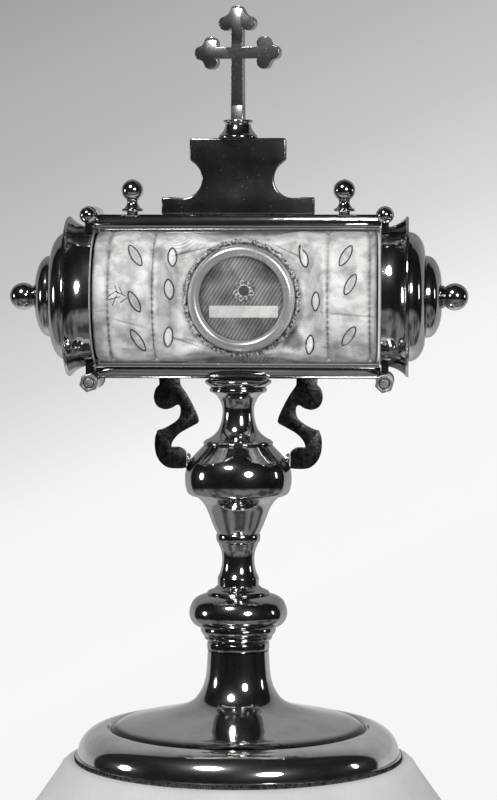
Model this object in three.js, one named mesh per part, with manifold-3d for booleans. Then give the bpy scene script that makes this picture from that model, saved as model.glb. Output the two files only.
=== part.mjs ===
// Monstrance reliquary: a glass tube on a turned stem, with hinged metal caps and a silk-covered roll inside.
// Millimetres, +Z up, the glass tube along X, the front towards -Y. The origin is at the middle of the foot's
// underside.

import * as THREE from 'three';
import { mergeVertices } from 'three/addons/utils/BufferGeometryUtils.js';
import Module from 'manifold-3d';

const wasm = await Module();
wasm.setup();

// Sides of round pieces
const footSides = 28;
const stemSides = 20;
const capSides = 24;
const smallSides = 14;
const pinSides = 10;

// Overall layout: the glass tube's axis, and the corner hinges' distance from the middle
const tubeAxisZ = 198;
const hingeX = 62.3;

// Glass tube
const glassRadius = 29.8;
const glassWall = 1.3;
const glassHalfLength = 60;

// Tie rod through the stem, with its washer and nut
const rodRadius = 2.5;
const rodHoleRadius = 2.8;
const rodBottomZ = 36;
const rodTopZ = 166.6;
const rodNutAcrossFlats = 8;
const rodNutHeight = 4;
const washerRadius = 7;
const washerHeight = 1.2;

// Foot
const flangeRadius = 70.3;
const flangeInnerRadius = 62;
const flangeHeight = 2.1;
const rimCentreRadius = 56.6;
const rimCentreZ = 2.3;
const rimReach = 12.4;
const rimHeight = 11.5;
const footWall = 1.6;
const footTopZ = 47;
const footCeilingZ = 45.2;
const footTopRadius = 13.1;

// Joints between the stem pieces
const neckTopZ = 56.8;
const lowerKnopTopZ = 70.8;
const lowerSpoolTopZ = 96.9;
const cupTopZ = 113.2;
const upperKnopTopZ = 134.8;

// Rails: half-round bars with a narrow flat land on the crest
const railInnerOffset = 29.95;
const railHeight = 4.85;
const railHalfWidth = 4.5;
const railLandHalfWidth = 2.3;
const railHalfLength = 60.6;
const railOuterOffset = railInnerOffset + railHeight;
const stemTopZ = tubeAxisZ - railOuterOffset;

// Corner hinges
const lowerPivotOffset = 36;
const upperPivotOffset = 34.65;
const knuckleRadius = 3.7;
const railKnuckleHalfWidth = 5;
const lugInnerY = 5.3;
const lugOuterY = 12.5;
const lugWebWidth = 3;
const lugWebStart = 25.5;
const pinRadius = 2;
const pinHoleRadius = 2.3;
const hookMouth = 4.6;
const hookMouthReach = 5;
const hingeGap = 0.3;
const pinBallRadius = 3.5;
const pinBallY = -16.6;
const pinTailY = 13.4;
const boltHeadRadius = 4;
const boltHeadHeight = 2.4;
const boltTipY = -15.7;
const hingeNutAcrossFlats = 7.2;
const hingeNutHeight = 3.2;

// End caps, measured along the tube from the middle of the glass
const collarMouthX = 60.9;
const rimFaceX = 72.4;
const collarBore = 28.2;
const domeHoleRadius = 26.4;
const domeApexX = 86.4;
const domeWall = 1;
const finialBallX = 91.8;
const finialBallRadius = 5.8;
const studRadius = 1.4;
const studHoleRadius = 1.7;
const studEndX = 81;
const studNutAcrossFlats = 5.5;
const studNutHeight = 2.2;
const gasketStartX = 60.3;
const gasketEndX = 60.8;
const gasketInnerRadius = 27.3;
const gasketOuterRadius = 29.1;

// Scroll brackets, and the bosses that join them to the upper knop
const bracketThickness = 2.8;
const bracketEndX = 22.2;
const bossZ = 128.6;
const bossGap = 0.3;

// Knobs on the upper rail
const knobX = 45;
const knobBallZ = 10.2;
const knobBallRadius = 4.6;

// Pediment, cross socket and cross
const pedimentBottomZ = tubeAxisZ + railOuterOffset;
const pedimentTopZ = 265.1;
const pedimentThickness = 4.4;
const plateBevel = 0.5;
const socketTopZ = 272.8;
const socketHoleRadius = 2.1;
const socketHoleDepth = 6;
const tangRadius = 1.8;
const tangLength = 5;
const crossCentreZ = 300.9;
const crossThickness = 4.4;
const crossTwist = THREE.MathUtils.degToRad(-13);
const budDip = 0.7;
const barHalfWidth = 2.45;

// Silk roll
const rollRadius = 28;
const rollHalfLength = 59.3;
const rollEndRound = 1.6;
const rollSides = 30;
const rollBore = 10;
const coreRadius = 9.7;
const coreHalfLength = 58.8;
const insertShift = 2.4;
const seamOffsets = [-54.3, -36.8, 36.8, 54.3];
const seamDepth = 0.8;
const seamHalfWidth = 1.6;
const pocketDepth = 12.3;
const pocketFall = 2.4;
const pocketRadius = 25.8;
const pocketReach = 27.5;
const pocketBlend = 36;
const pocketStations = 15;
const pocketStep = 4.5;

// Round case in the front of the roll: depths run from the tube's axis to the front
const caseX = 2.2;
const caseDrop = 0.3;
const caseRadius = 18.6;
const caseWall = 0.7;
const caseBackDepth = 12.7;
const caseFrontDepth = 14.9;
const discRadius = 17.6;
const discDepth = 13.5;
const discThickness = 0.4;
const appliqueGap = 0.1;
const windowRadius = 18.7;
const windowDepth = 15;
const windowThickness = 0.7;
const ringRadius = 20.1;
const ringTube = 2.45;
const ringDepth = 15.7;
const ringBackDepth = 13.6;
const ringSeatRadius = 18.9;
const braidRadius = 24.4;
const braidTube = 0.95;
const braidSideDepth = 13.6;
const braidTopDepth = 11.8;
const braidStations = 32;
const braidSides = 6;
const labelSize = { width: 29, height: 5, thickness: 0.15, x: 0.9, z: -5.6 };
const flowerSize = { radius: 4.6, hole: 1.8, thickness: 0.6, petals: 8, x: 1, z: 3.2 };

const silvered = { color: 0xcfcac0, roughness: 0.12, metalness: 1 };
const darkMetal = { color: 0x8d8a84, roughness: 0.35, metalness: 1 };
const clearGlass = { color: 0xe8eeec, roughness: 0.02, metalness: 0 };
const ivorySilk = { color: 0xe6e0d2, roughness: 0.55, metalness: 0 };
const greySilk = { color: 0x6d6a66, roughness: 0.6, metalness: 0 };
const metalThread = { color: 0xb9b2a2, roughness: 0.4, metalness: 1 };
const paper = { color: 0xece8dc, roughness: 0.9, metalness: 0 };
const limewood = { color: 0xb99a6b, roughness: 0.7, metalness: 0 };
const felt = { color: 0xd8d0bd, roughness: 0.95, metalness: 0 };

// The head group has its origin on the tube's axis, over the stem
const reliquary = new THREE.Group();
const head = new THREE.Group();
head.position.set(0, 0, tubeAxisZ);
reliquary.add(head);

function addPart(group, name, geometry, look) {
  const mesh = new THREE.Mesh(geometry, new THREE.MeshStandardMaterial(look));
  mesh.name = name;
  group.add(mesh);
  return mesh;
}

// Profiles are lists of [radius, height] pairs

function bend(points, steps) {
  const curve = new THREE.SplineCurve(points.map(([x, y]) => new THREE.Vector2(x, y)));
  return curve.getPoints(steps).map((point) => [point.x, point.y]);
}

function arc(centreX, centreY, reachX, reachY, startDegrees, endDegrees, steps) {
  const points = [];
  for (let step = 0; step <= steps; step += 1) {
    const angle = THREE.MathUtils.degToRad(startDegrees + ((endDegrees - startDegrees) * step) / steps);
    points.push([centreX + reachX * Math.cos(angle), centreY + reachY * Math.sin(angle)]);
  }
  return points;
}

function closed(profile) {
  return [...profile, profile[0]];
}

function withBore(outline, boreRadius) {
  const bottom = outline[0][1];
  const top = outline[outline.length - 1][1];
  return closed([[boreRadius, bottom], ...outline, [boreRadius, top]]);
}

function onAxis(outline) {
  return [[0, outline[0][1]], ...outline, [0, outline[outline.length - 1][1]]];
}

// Lathes: the axis points along +Y as made, and is then turned to +Z, to +X, or to the front
function lathe(profile, sides) {
  return new THREE.LatheGeometry(profile.map(([radius, height]) => new THREE.Vector2(radius, height)), sides);
}

function latheUp(profile, sides) {
  return lathe(profile, sides).rotateX(Math.PI / 2);
}

function latheAlong(profile, sides) {
  return lathe(profile, sides).rotateZ(-Math.PI / 2);
}

function latheFront(profile, sides) {
  return lathe(profile, sides).rotateZ(Math.PI);
}

function rod(radius, from, to, sides) {
  const cylinder = new THREE.CylinderGeometry(radius, radius, Math.abs(to - from), sides);
  return cylinder.translate(0, (from + to) / 2, 0);
}

function block(fromX, toX, fromY, toY, fromZ, toZ) {
  const box = new THREE.BoxGeometry(Math.abs(toX - fromX), Math.abs(toY - fromY), Math.abs(toZ - fromZ));
  return box.translate((fromX + toX) / 2, (fromY + toY) / 2, (fromZ + toZ) / 2);
}

// A flat plate standing in the XZ plane, centred on Y
function plate(shape, thickness, bevel, curveSegments) {
  const options = { depth: thickness - 2 * bevel, bevelEnabled: bevel > 0, curveSegments };
  Object.assign(options, { bevelThickness: bevel, bevelSize: bevel, bevelOffset: -bevel, bevelSegments: 1 });
  const geometry = new THREE.ExtrudeGeometry(shape, options);
  return geometry.translate(0, 0, -options.depth / 2).rotateX(Math.PI / 2);
}

function shapeOf(points) {
  return new THREE.Shape(points.map(([x, y]) => new THREE.Vector2(x, y)));
}

// Joining and cutting

function solidOf(geometry) {
  const bare = geometry.clone();
  bare.deleteAttribute('normal');
  bare.deleteAttribute('uv');
  const merged = mergeVertices(bare, 1e-4);
  const corners = [];
  const index = merged.index.array;
  for (let start = 0; start < index.length; start += 3) {
    const [a, b, c] = [index[start], index[start + 1], index[start + 2]];
    if (a !== b && b !== c && c !== a) corners.push(a, b, c);
  }
  const vertProperties = new Float32Array(merged.attributes.position.array);
  return new wasm.Manifold(new wasm.Mesh({ numProp: 3, vertProperties, triVerts: new Uint32Array(corners) }));
}

function geometryOf(solid) {
  const mesh = solid.getMesh();
  const geometry = new THREE.BufferGeometry();
  geometry.setAttribute('position', new THREE.BufferAttribute(new Float32Array(mesh.vertProperties), 3));
  geometry.setIndex(new THREE.BufferAttribute(new Uint32Array(mesh.triVerts), 1));
  return geometry;
}

function join(first, ...others) {
  return others.reduce((solid, geometry) => solid.add(solidOf(geometry)), solidOf(first));
}

function cut(solid, ...cutters) {
  return cutters.reduce((rest, geometry) => rest.subtract(solidOf(geometry)), solid);
}

// A hexagon nut on the Y axis, from zero to its height
function hexNut(acrossFlats, height, holeRadius) {
  const blank = rod(acrossFlats / Math.sqrt(3), 0, height, 6);
  return geometryOf(cut(solidOf(blank), rod(holeRadius, -1, height + 1, pinSides)));
}

// Foot and stem

function footProfile() {
  const rim = arc(rimCentreRadius, rimCentreZ, rimReach, rimHeight, 0, 90, 5);
  const step = [[56, 13.8], [55.6, 12.9], [55, 12.9], [54.7, 13.9]];
  const trumpet = [[54.2, 14.5], [46, 16.6], [36, 19], [28, 21.1], [22.5, 23], [18.9, 25.3], [16.4, 28.6],
    [14.7, 32.4], [13.7, 37.3], [footTopRadius, footTopZ]];
  const innerTrumpet = [[11.2, footCeilingZ], [11.7, 39.5], [13, 32], [15.4, 26.2], [19.5, 22.2], [27, 19.1],
    [38, 16.4], [53.6, 11.6]];
  const innerRim = arc(rimCentreRadius, rimCentreZ, rimReach - footWall, rimHeight - footWall, 85, 0, 3);
  return closed([[flangeInnerRadius, 0], [flangeRadius, 0], [flangeRadius, flangeHeight], ...rim, ...step,
    ...trumpet, [rodHoleRadius, footTopZ], [rodHoleRadius, footCeilingZ], ...innerTrumpet, ...innerRim,
    [flangeInnerRadius, rimCentreZ - 0.1]]);
}

function neckCollarOutline() {
  return [[13.1, footTopZ], [13.3, 47.4], [13.3, 50.1], [12.9, 50.5], [13.5, 51], [14.3, 51.7], [14.6, 52.4],
    [14.2, 52.9], [15.1, 53.4], [15.8, 54.5], [16.2, 55.7], [16, neckTopZ]];
}

function lowerKnopOutline() {
  return [[16.4, neckTopZ], [18.6, 57.8], [20.1, 59.5], [20.9, 61.6], [20.95, 63.6], [20.5, 65.6],
    [19.5, 67.7], [18, 69.2], [15.9, 70.3], [13.9, lowerKnopTopZ]];
}

function lowerSpoolOutline() {
  const flange = [[13.2, lowerKnopTopZ], [13.4, 71.4], [12.9, 72.2]];
  const bead = [[11.8, 72.7], [10.5, 73.2], [9.4, 74.1], [8.8, 74.7], [8.85, 77.9], [8.6, 78.3]];
  const waist = [[7.75, 80.3], [7.1, 83], [6.9, 86.3], [7.3, 89.4], [8.1, 91.5], [8.6, 92.8]];
  return [...flange, ...bead, ...waist, [9.2, 93.5], [9.45, 96.2], [9.1, lowerSpoolTopZ]];
}

function cupOutline() {
  return [[9.1, lowerSpoolTopZ], [10.5, 99.8], [12.4, 104.6], [13.8, 108], [15.4, 110.4], [17.5, 112.4],
    [18.6, cupTopZ]];
}

// The same outline, grown a little, also cuts the bosses to the knop's surface
function upperKnopOutline(grow) {
  const bowl = [[20, cupTopZ], [21.7, 114.5], [22.5, 116.9], [22.8, 119.6], [22.7, 122.6], [22.1, 125.4],
    [20.9, 127.9], [18.8, 130.4], [16.5, 132.8], [14.6, upperKnopTopZ]];
  return bowl.map(([radius, height]) => [radius + grow, height]);
}

function upperSpoolOutline() {
  const ring = [[14.4, upperKnopTopZ], [14.95, 135.2], [14.9, 136], [13.8, 137]];
  const waist = [[12.9, 137.4], [10.6, 138.9], [8.9, 140.7], [7.7, 143.2], [6.9, 146.7], [6.7, 149.4],
    [7.1, 152], [8.3, 154.6], [9.6, 156.2], [11.9, 157.5]];
  const flanges = [[12.3, 157.9], [12.2, 158.9], [11.6, 159.3], [12.3, 159.8], [13.9, 161], [14.3, 161.7],
    [14.1, 162.4], [12, stemTopZ]];
  return [...ring, ...waist, ...flanges];
}

function addStem() {
  addPart(reliquary, 'foot', latheUp(footProfile(), footSides), silvered);
  const stemPieces = {
    neck_collar: neckCollarOutline(),
    lower_knop: lowerKnopOutline(),
    lower_spool: lowerSpoolOutline(),
    cup: cupOutline(),
    upper_knop: upperKnopOutline(0),
    upper_spool: upperSpoolOutline(),
  };
  for (const [name, outline] of Object.entries(stemPieces)) {
    addPart(reliquary, name, latheUp(withBore(outline, rodHoleRadius), stemSides), silvered);
  }
}

function addTieRod() {
  const washerZ = footCeilingZ - washerHeight;
  const washer = withBore([[washerRadius, washerZ], [washerRadius, footCeilingZ]], rodHoleRadius);
  const nut = hexNut(rodNutAcrossFlats, rodNutHeight, rodHoleRadius).rotateX(Math.PI / 2);
  const tieRod = rod(rodRadius, rodBottomZ, rodTopZ, pinSides).rotateX(Math.PI / 2);
  addPart(reliquary, 'tie_rod', tieRod, darkMetal);
  addPart(reliquary, 'rod_washer', latheUp(washer, smallSides), darkMetal);
  addPart(reliquary, 'rod_nut', nut, darkMetal).position.set(0, 0, washerZ - rodNutHeight);
}

// Rails, in the head's coordinates: made as the upper rail, and turned over for the lower one

function railBar() {
  const landAngle = Math.acos(railLandHalfWidth / railHalfWidth);
  const crown = railHeight / Math.sin(landAngle);
  const section = new THREE.Shape();
  section.moveTo(-railHalfWidth, 0);
  section.lineTo(railHalfWidth, 0);
  section.absellipse(0, 0, railHalfWidth, crown, 0, landAngle, false, 0);
  section.absellipse(0, 0, railHalfWidth, crown, Math.PI - landAngle, Math.PI, false, 0);
  const length = 2 * railHalfLength;
  const bar = new THREE.ExtrudeGeometry(section, { depth: length, bevelEnabled: false, curveSegments: 5 });
  return bar.translate(0, railInnerOffset, -railHalfLength).rotateX(Math.PI / 2).rotateZ(Math.PI / 2);
}

function atHinge(geometry, side, offset) {
  return geometry.translate(side * hingeX, 0, offset);
}

function railWithKnuckles(pivotOffset) {
  const knuckle = () => rod(knuckleRadius, -railKnuckleHalfWidth, railKnuckleHalfWidth, smallSides);
  return join(railBar(), atHinge(knuckle(), 1, pivotOffset), atHinge(knuckle(), -1, pivotOffset));
}

function pinHole(side, offset) {
  return atHinge(rod(pinHoleRadius, -lugOuterY - 1, lugOuterY + 1, pinSides), side, offset);
}

// The upper knuckles are hooks, open away from the glass, so the pins can leave with the caps
function hookOpening(side, offset) {
  const mouth = block(0, side * hookMouthReach, -lugInnerY, lugInnerY, -hookMouth / 2, hookMouth / 2);
  return atHinge(mouth, side, offset);
}

function addRails() {
  const upper = cut(railWithKnuckles(upperPivotOffset),
    pinHole(1, upperPivotOffset), pinHole(-1, upperPivotOffset),
    hookOpening(1, upperPivotOffset), hookOpening(-1, upperPivotOffset));
  addPart(head, 'upper_rail', geometryOf(upper), silvered);
  const rodHole = rod(rodHoleRadius, 0, railOuterOffset + 1, pinSides).rotateX(Math.PI / 2);
  const lower = cut(railWithKnuckles(lowerPivotOffset),
    pinHole(1, lowerPivotOffset), pinHole(-1, lowerPivotOffset), rodHole);
  addPart(head, 'lower_rail', geometryOf(lower), silvered).rotation.x = Math.PI;
}

// Scroll brackets: the left one's outline, seen from the front, in X and Z

function bracketShape() {
  const shape = new THREE.Shape();
  const through = (points) => shape.splineThru(points.map(([x, z]) => new THREE.Vector2(x, z)));
  shape.moveTo(-24.8, stemTopZ);
  shape.lineTo(-33.8, stemTopZ);
  shape.lineTo(-33.6, 160.6);
  through([[-35.2, 158.7], [-36, 155.6], [-34.4, 151.1], [-30.9, 149.9], [-28.1, 150.6], [-25.5, 151.9]]);
  through([[-24.6, 149.6], [-25.8, 145.7], [-29.5, 142.9], [-34.5, 141]]);
  through([[-35.7, 136.4], [-35.3, 131.4], [-33, 127], [-28.8, 124.7], [-bracketEndX, 124.9]]);
  shape.lineTo(-bracketEndX, 131.3);
  through([[-23.4, 132.8], [-25.4, 133.8], [-28.6, 133.7]]);
  through([[-28.1, 136], [-25.6, 139.2], [-20.6, 142.2], [-16.9, 144.6]]);
  through([[-17.2, 146.7], [-19.4, 151.8], [-22.4, 157.1], [-24.8, 160.6]]);
  return shape;
}

function bossProfile() {
  return onAxis([[2.3, 17], [2.3, 20.9], [2.7, 21.1], [2.7, 21.6], [2.3, 21.9]]);
}

function bossGeometry() {
  const knop = latheUp(onAxis(upperKnopOutline(bossGap)), stemSides);
  const blank = latheAlong(bossProfile(), smallSides).translate(0, 0, bossZ);
  return geometryOf(cut(solidOf(blank), knop));
}

function addBrackets() {
  for (const [side, turn] of [['left', 0], ['right', Math.PI]]) {
    const outline = plate(bracketShape(), bracketThickness, 0, 2);
    addPart(reliquary, `${side}_bracket`, outline, darkMetal).rotation.z = turn;
    addPart(reliquary, `${side}_boss`, bossGeometry(), silvered).rotation.z = turn + Math.PI;
  }
}

// Crown: knobs, pediment, socket and cross

function knobOutline() {
  const foot = [[2.4, 0], [2.4, 1.2], [4.4, 1.4], [4.6, 1.8], [4.3, 2.4]];
  const neck = bend([[3.2, 2.9], [2.3, 4.4], [2.3, 5.6]], 3);
  const ball = arc(0, knobBallZ, knobBallRadius, knobBallRadius, -54, 72, 5);
  return [...foot, ...neck, ...ball, [0.5, knobBallZ + 4.75]];
}

function addKnobs() {
  for (const [side, direction] of [['left', -1], ['right', 1]]) {
    const knob = addPart(head, `${side}_knob`, latheUp(onAxis(knobOutline()), smallSides), silvered);
    knob.position.set(direction * knobX, 0, railOuterOffset);
  }
}

function pedimentShape() {
  const half = [[32.5, pedimentBottomZ], [32.5, 240.1], ...arc(23.3, 247.8, 8, 8, -92, -238, 6),
    [20.5, 256.2], [20.5, pedimentTopZ]];
  const mirrored = half.map(([x, z]) => [-x, z]).reverse();
  return shapeOf([...half, ...mirrored]);
}

function socketProfile() {
  const outline = [[8.3, pedimentTopZ], [8.1, 266.2], ...bend([[7.4, 266.8], [6, 268.8], [5.3, 271]], 4),
    [6.1, 271.7], [6.35, 272.3], [6.1, socketTopZ]];
  const holeBottomZ = socketTopZ - socketHoleDepth;
  return [[0, pedimentTopZ], ...outline, [socketHoleRadius, socketTopZ], [socketHoleRadius, holeBottomZ],
    [0, holeBottomZ]];
}

// Two neighbouring buds: the outline leaves the first, dips between them and meets the second
function shoulder(first, second) {
  const span = Math.hypot(second.u - first.u, second.v - first.v);
  const [outU, outV] = [(second.v - first.v) / span, (first.u - second.u) / span];
  const outside = (u, v, reach) => [u + outU * reach, v + outV * reach];
  const [middleU, middleV] = [(first.u + second.u) / 2, (first.v + second.v) / 2];
  return [outside(first.u, first.v, first.r), outside(middleU, middleV, (first.r + second.r) / 2 - budDip),
    outside(second.u, second.v, second.r)];
}

function budArc(bud, from, to, steps) {
  const start = Math.atan2(from[1] - bud.v, from[0] - bud.u);
  const end = Math.atan2(to[1] - bud.v, to[0] - bud.u);
  const sweep = end > start ? end - start : end - start + 2 * Math.PI;
  return Array.from({ length: steps + 1 }, (unused, step) => {
    const angle = start + (sweep * step) / steps;
    return [bud.u + bud.r * Math.cos(angle), bud.v + bud.r * Math.sin(angle)];
  });
}

// One budded arm of the cross, pointing along u: bar edge, side bud, end bud, side bud, bar edge
function armOutline({ halfWidth, sideReach, sideSpread, endReach, budRadius, endRadius }) {
  const low = { u: sideReach, v: -sideSpread, r: budRadius };
  const end = { u: endReach, v: 0, r: endRadius };
  const high = { u: sideReach, v: sideSpread, r: budRadius };
  const inset = Math.sqrt(budRadius ** 2 - (sideSpread - halfWidth) ** 2);
  const [leaveLow, lowDip, meetEnd] = shoulder(low, end);
  const [leaveEnd, highDip, meetHigh] = shoulder(end, high);
  return [...budArc(low, [sideReach - inset, -halfWidth], leaveLow, 5), lowDip,
    ...budArc(end, meetEnd, leaveEnd, 4), highDip,
    ...budArc(high, meetHigh, [sideReach - inset, halfWidth], 5)];
}

function turned(points, quarterTurns) {
  const [cos, sin] = [[1, 0], [0, 1], [-1, 0]][quarterTurns];
  return points.map(([u, v]) => [u * cos - v * sin, u * sin + v * cos]);
}

function crossShape() {
  const buds = { halfWidth: barHalfWidth, budRadius: 3.1 };
  const arm = { ...buds, sideReach: 11.7, sideSpread: 3.8, endReach: 14.9, endRadius: 3.7 };
  const top = { ...buds, sideReach: 12.4, sideSpread: 4.9, endReach: 16.3, endRadius: 3.6 };
  const shaftHalfWidth = barHalfWidth + 0.2;
  const shaftBottom = socketTopZ - crossCentreZ;
  const notch = [[barHalfWidth, barHalfWidth], [-barHalfWidth, barHalfWidth]];
  return shapeOf([[shaftHalfWidth, shaftBottom], [barHalfWidth, -barHalfWidth], ...turned(armOutline(arm), 0),
    notch[0], ...turned(armOutline(top), 1), notch[1], ...turned(armOutline(arm), 2),
    [-barHalfWidth, -barHalfWidth], [-shaftHalfWidth, shaftBottom]]);
}

function crossGeometry() {
  const shaftBottom = socketTopZ - crossCentreZ;
  const tang = rod(tangRadius, shaftBottom - tangLength, shaftBottom + 2, pinSides).rotateX(Math.PI / 2);
  return geometryOf(join(plate(crossShape(), crossThickness, plateBevel, 1), tang));
}

function addCrown() {
  addPart(reliquary, 'pediment', plate(pedimentShape(), pedimentThickness, plateBevel, 1), silvered);
  addPart(reliquary, 'cross_socket', latheUp(socketProfile(), smallSides), silvered);
  const cross = addPart(reliquary, 'cross', crossGeometry(), silvered);
  cross.position.set(0, 0, crossCentreZ);
  cross.rotation.z = crossTwist;
}

// End caps: made for the +X end, and turned half round for the -X end

function collarProfile() {
  const flare = bend([[29.3, collarMouthX], [29.6, 64], [30.6, 67.4], [32.4, 70.2], [33.8, 71.2]], 4);
  const rim = [[34.1, 71.5], [34.1, 72], [33.8, rimFaceX], [domeHoleRadius, rimFaceX],
    [domeHoleRadius, 71.3]];
  const inner = bend([[31.6, 71.3], [30.7, 70], [29.4, 67.4], [28.5, 64.2], [collarBore, collarMouthX]], 4);
  return closed([...flare, ...rim, ...inner]);
}

function lug(pivotOffset) {
  const inward = Math.sign(pivotOffset);
  const web = (side) => block(collarMouthX, collarMouthX + lugWebWidth, side * lugInnerY, side * lugOuterY,
    inward * lugWebStart, pivotOffset);
  const barrel = (side) => rod(knuckleRadius, side * lugInnerY, side * lugOuterY, smallSides);
  const knuckle = (side) => atHinge(barrel(side), 1, pivotOffset);
  return [web(1), web(-1), knuckle(1), knuckle(-1)];
}

function collarGeometry() {
  const ring = latheAlong(collarProfile(), capSides);
  const boreEnd = collarMouthX + lugWebWidth + 0.2;
  const bore = rod(collarBore, collarMouthX - 1, boreEnd, capSides).rotateZ(-Math.PI / 2);
  const blank = join(ring, ...lug(upperPivotOffset), ...lug(-lowerPivotOffset));
  return geometryOf(cut(blank, bore, pinHole(1, upperPivotOffset), pinHole(1, -lowerPivotOffset)));
}

function domeProfile() {
  const outer = [...arc(17.6, rimFaceX, 9.9, 7, 0, 78, 4), [17.5, 79.9],
    ...arc(5, 80.4, 12.3, domeApexX - 80.4, 0, 90, 4)];
  const inner = [[5, domeApexX - domeWall], ...arc(5, 80.2, 11.3, domeApexX - domeWall - 80.2, 78, 4, 2),
    [16.4, 79], ...arc(17.6, rimFaceX, 9.9 - domeWall, 6, 78, 0, 2)];
  return closed([[26.5, rimFaceX], ...outer,
    [studHoleRadius, domeApexX], [studHoleRadius, domeApexX - domeWall], ...inner]);
}

function finialOutline() {
  const ballStart = 180 - THREE.MathUtils.radToDeg(Math.asin(4.2 / finialBallRadius));
  const ball = arc(0, 0, finialBallRadius, finialBallRadius, ballStart, 0, 6);
  const alongAxis = ball.map(([offset, radius]) => [radius, finialBallX + offset]).slice(0, -1);
  return [[studRadius, studEndX], [studRadius, domeApexX], [4.7, domeApexX], [4.9, 87], [4.5, 87.5],
    ...alongAxis, [0.3, finialBallX + finialBallRadius]];
}

function addCaps() {
  const gasketEdge = [[gasketOuterRadius, gasketStartX], [gasketOuterRadius, gasketEndX]];
  const gasket = withBore(gasketEdge, gasketInnerRadius);
  const nutX = domeApexX - domeWall - studNutHeight;
  for (const [side, turn] of [['left', Math.PI], ['right', 0]]) {
    const cap = new THREE.Group();
    cap.rotation.z = turn;
    head.add(cap);
    addPart(cap, `${side}_collar`, collarGeometry(), silvered);
    addPart(cap, `${side}_dome`, latheAlong(domeProfile(), capSides), silvered);
    addPart(cap, `${side}_finial`, latheAlong(onAxis(finialOutline()), smallSides), silvered);
    addPart(cap, `${side}_gasket`, latheAlong(gasket, capSides), felt);
    const nut = hexNut(studNutAcrossFlats, studNutHeight, studHoleRadius).rotateZ(-Math.PI / 2);
    addPart(cap, `${side}_finial_nut`, nut, darkMetal).position.set(nutX, 0, 0);
  }
}

// Hinge pins above, bolts and nuts below: profiles run from the front to the back

function pinOutline() {
  const neckRadius = 2.6;
  const backDegrees = 180 - THREE.MathUtils.radToDeg(Math.asin(neckRadius / pinBallRadius));
  const ball = arc(0, 0, pinBallRadius, pinBallRadius, 8, backDegrees, 6);
  const alongAxis = ball.map(([offset, radius]) => [radius, pinBallY - offset]);
  const shankStart = -lugOuterY - hingeGap;
  return [...alongAxis, [neckRadius, shankStart], [pinRadius, shankStart], [pinRadius, pinTailY - 0.8],
    [1.2, pinTailY]];
}

function boltOutline() {
  const headStart = lugOuterY + hingeGap;
  const headEnd = headStart + boltHeadHeight;
  return [[1.6, boltTipY], [pinRadius, boltTipY + 0.4], [pinRadius, headStart], [boltHeadRadius, headStart],
    [boltHeadRadius, headEnd - 0.8], [boltHeadRadius - 1, headEnd]];
}

function addHingePins() {
  const nutY = -lugOuterY - hingeGap - hingeNutHeight;
  for (const [side, direction] of [['left', -1], ['right', 1]]) {
    const pin = addPart(head, `${side}_pin`, lathe(onAxis(pinOutline()), pinSides), silvered);
    pin.position.set(direction * hingeX, 0, upperPivotOffset);
    const bolt = addPart(head, `${side}_hinge_bolt`, lathe(onAxis(boltOutline()), pinSides), darkMetal);
    bolt.position.set(direction * hingeX, 0, -lowerPivotOffset);
    const nut = addPart(head, `${side}_hinge_nut`, hexNut(hingeNutAcrossFlats, hingeNutHeight, pinHoleRadius),
      darkMetal);
    nut.position.set(direction * hingeX, nutY, -lowerPivotOffset);
  }
}

// Glass tube and silk roll

function addGlass() {
  const wall = [[glassRadius, -glassHalfLength], [glassRadius, glassHalfLength]];
  addPart(head, 'glass_tube', latheAlong(withBore(wall, glassRadius - glassWall), footSides), clearGlass);
}

// Radius of the padded roll at a place along it and an angle from the front
function rollSurface(x, angle) {
  const fromEnd = rollHalfLength - Math.abs(x);
  const endDrop = Math.max(0, rollEndRound - fromEnd) ** 2 / (2 * rollEndRound);
  const nearestSeam = Math.min(...seamOffsets.map((seam) => Math.abs(x - seam - insertShift)));
  const seamDrop = seamDepth * Math.max(0, 1 - nearestSeam / seamHalfWidth);
  const full = rollRadius - endDrop - seamDrop;
  const depth = pocketDepth - pocketFall * Math.sin(angle) ** 2;
  const pocket = Math.min(full, pocketRadius, depth / Math.max(Math.cos(angle), 0.01));
  const distance = Math.hypot(x - caseX, pocket * Math.sin(angle));
  const inside = THREE.MathUtils.smoothstep(pocketBlend - distance, 0, pocketBlend - pocketReach);
  const sunk = Math.cos(angle) > 0 ? inside : 0;
  return THREE.MathUtils.lerp(full, pocket, sunk);
}

function rollStations() {
  const nearSeam = [-seamHalfWidth, 0, seamHalfWidth];
  const seams = seamOffsets.flatMap((seam) => nearSeam.map((step) => seam + insertShift + step));
  const ends = [rollHalfLength, rollHalfLength - rollEndRound];
  const firstStep = caseX - pocketStep * (pocketStations - 1) / 2;
  const pocketSteps = Array.from({ length: pocketStations }, (unused, step) => firstStep + step * pocketStep);
  return [...ends, ...ends.map((x) => -x), ...seams, ...pocketSteps].sort((a, b) => a - b);
}

// A closed skin over rings of points: every ring has the same count, and the last ring meets the first
function ringSolid(rings) {
  const count = rings[0].length;
  const corners = [];
  rings.forEach((ring, row) => {
    const next = (row + 1) % rings.length;
    for (let side = 0; side < count; side += 1) {
      const beside = (side + 1) % count;
      const [a, b] = [row * count + side, row * count + beside];
      const [c, d] = [next * count + beside, next * count + side];
      corners.push(a, c, b, a, d, c);
    }
  });
  const geometry = new THREE.BufferGeometry();
  geometry.setAttribute('position', new THREE.Float32BufferAttribute(rings.flat(2), 3));
  geometry.setIndex(corners);
  return geometry;
}

function rollRing(x, radiusAt) {
  return Array.from({ length: rollSides }, (unused, side) => {
    const angle = (2 * Math.PI * side) / rollSides;
    return [x, -radiusAt(angle) * Math.cos(angle), radiusAt(angle) * Math.sin(angle)];
  });
}

function rollGeometry() {
  const outer = rollStations().map((x) => rollRing(x, (angle) => rollSurface(x, angle)));
  const bore = [rollHalfLength, -rollHalfLength].map((x) => rollRing(x, () => rollBore));
  return ringSolid([...outer, ...bore]);
}

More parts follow.
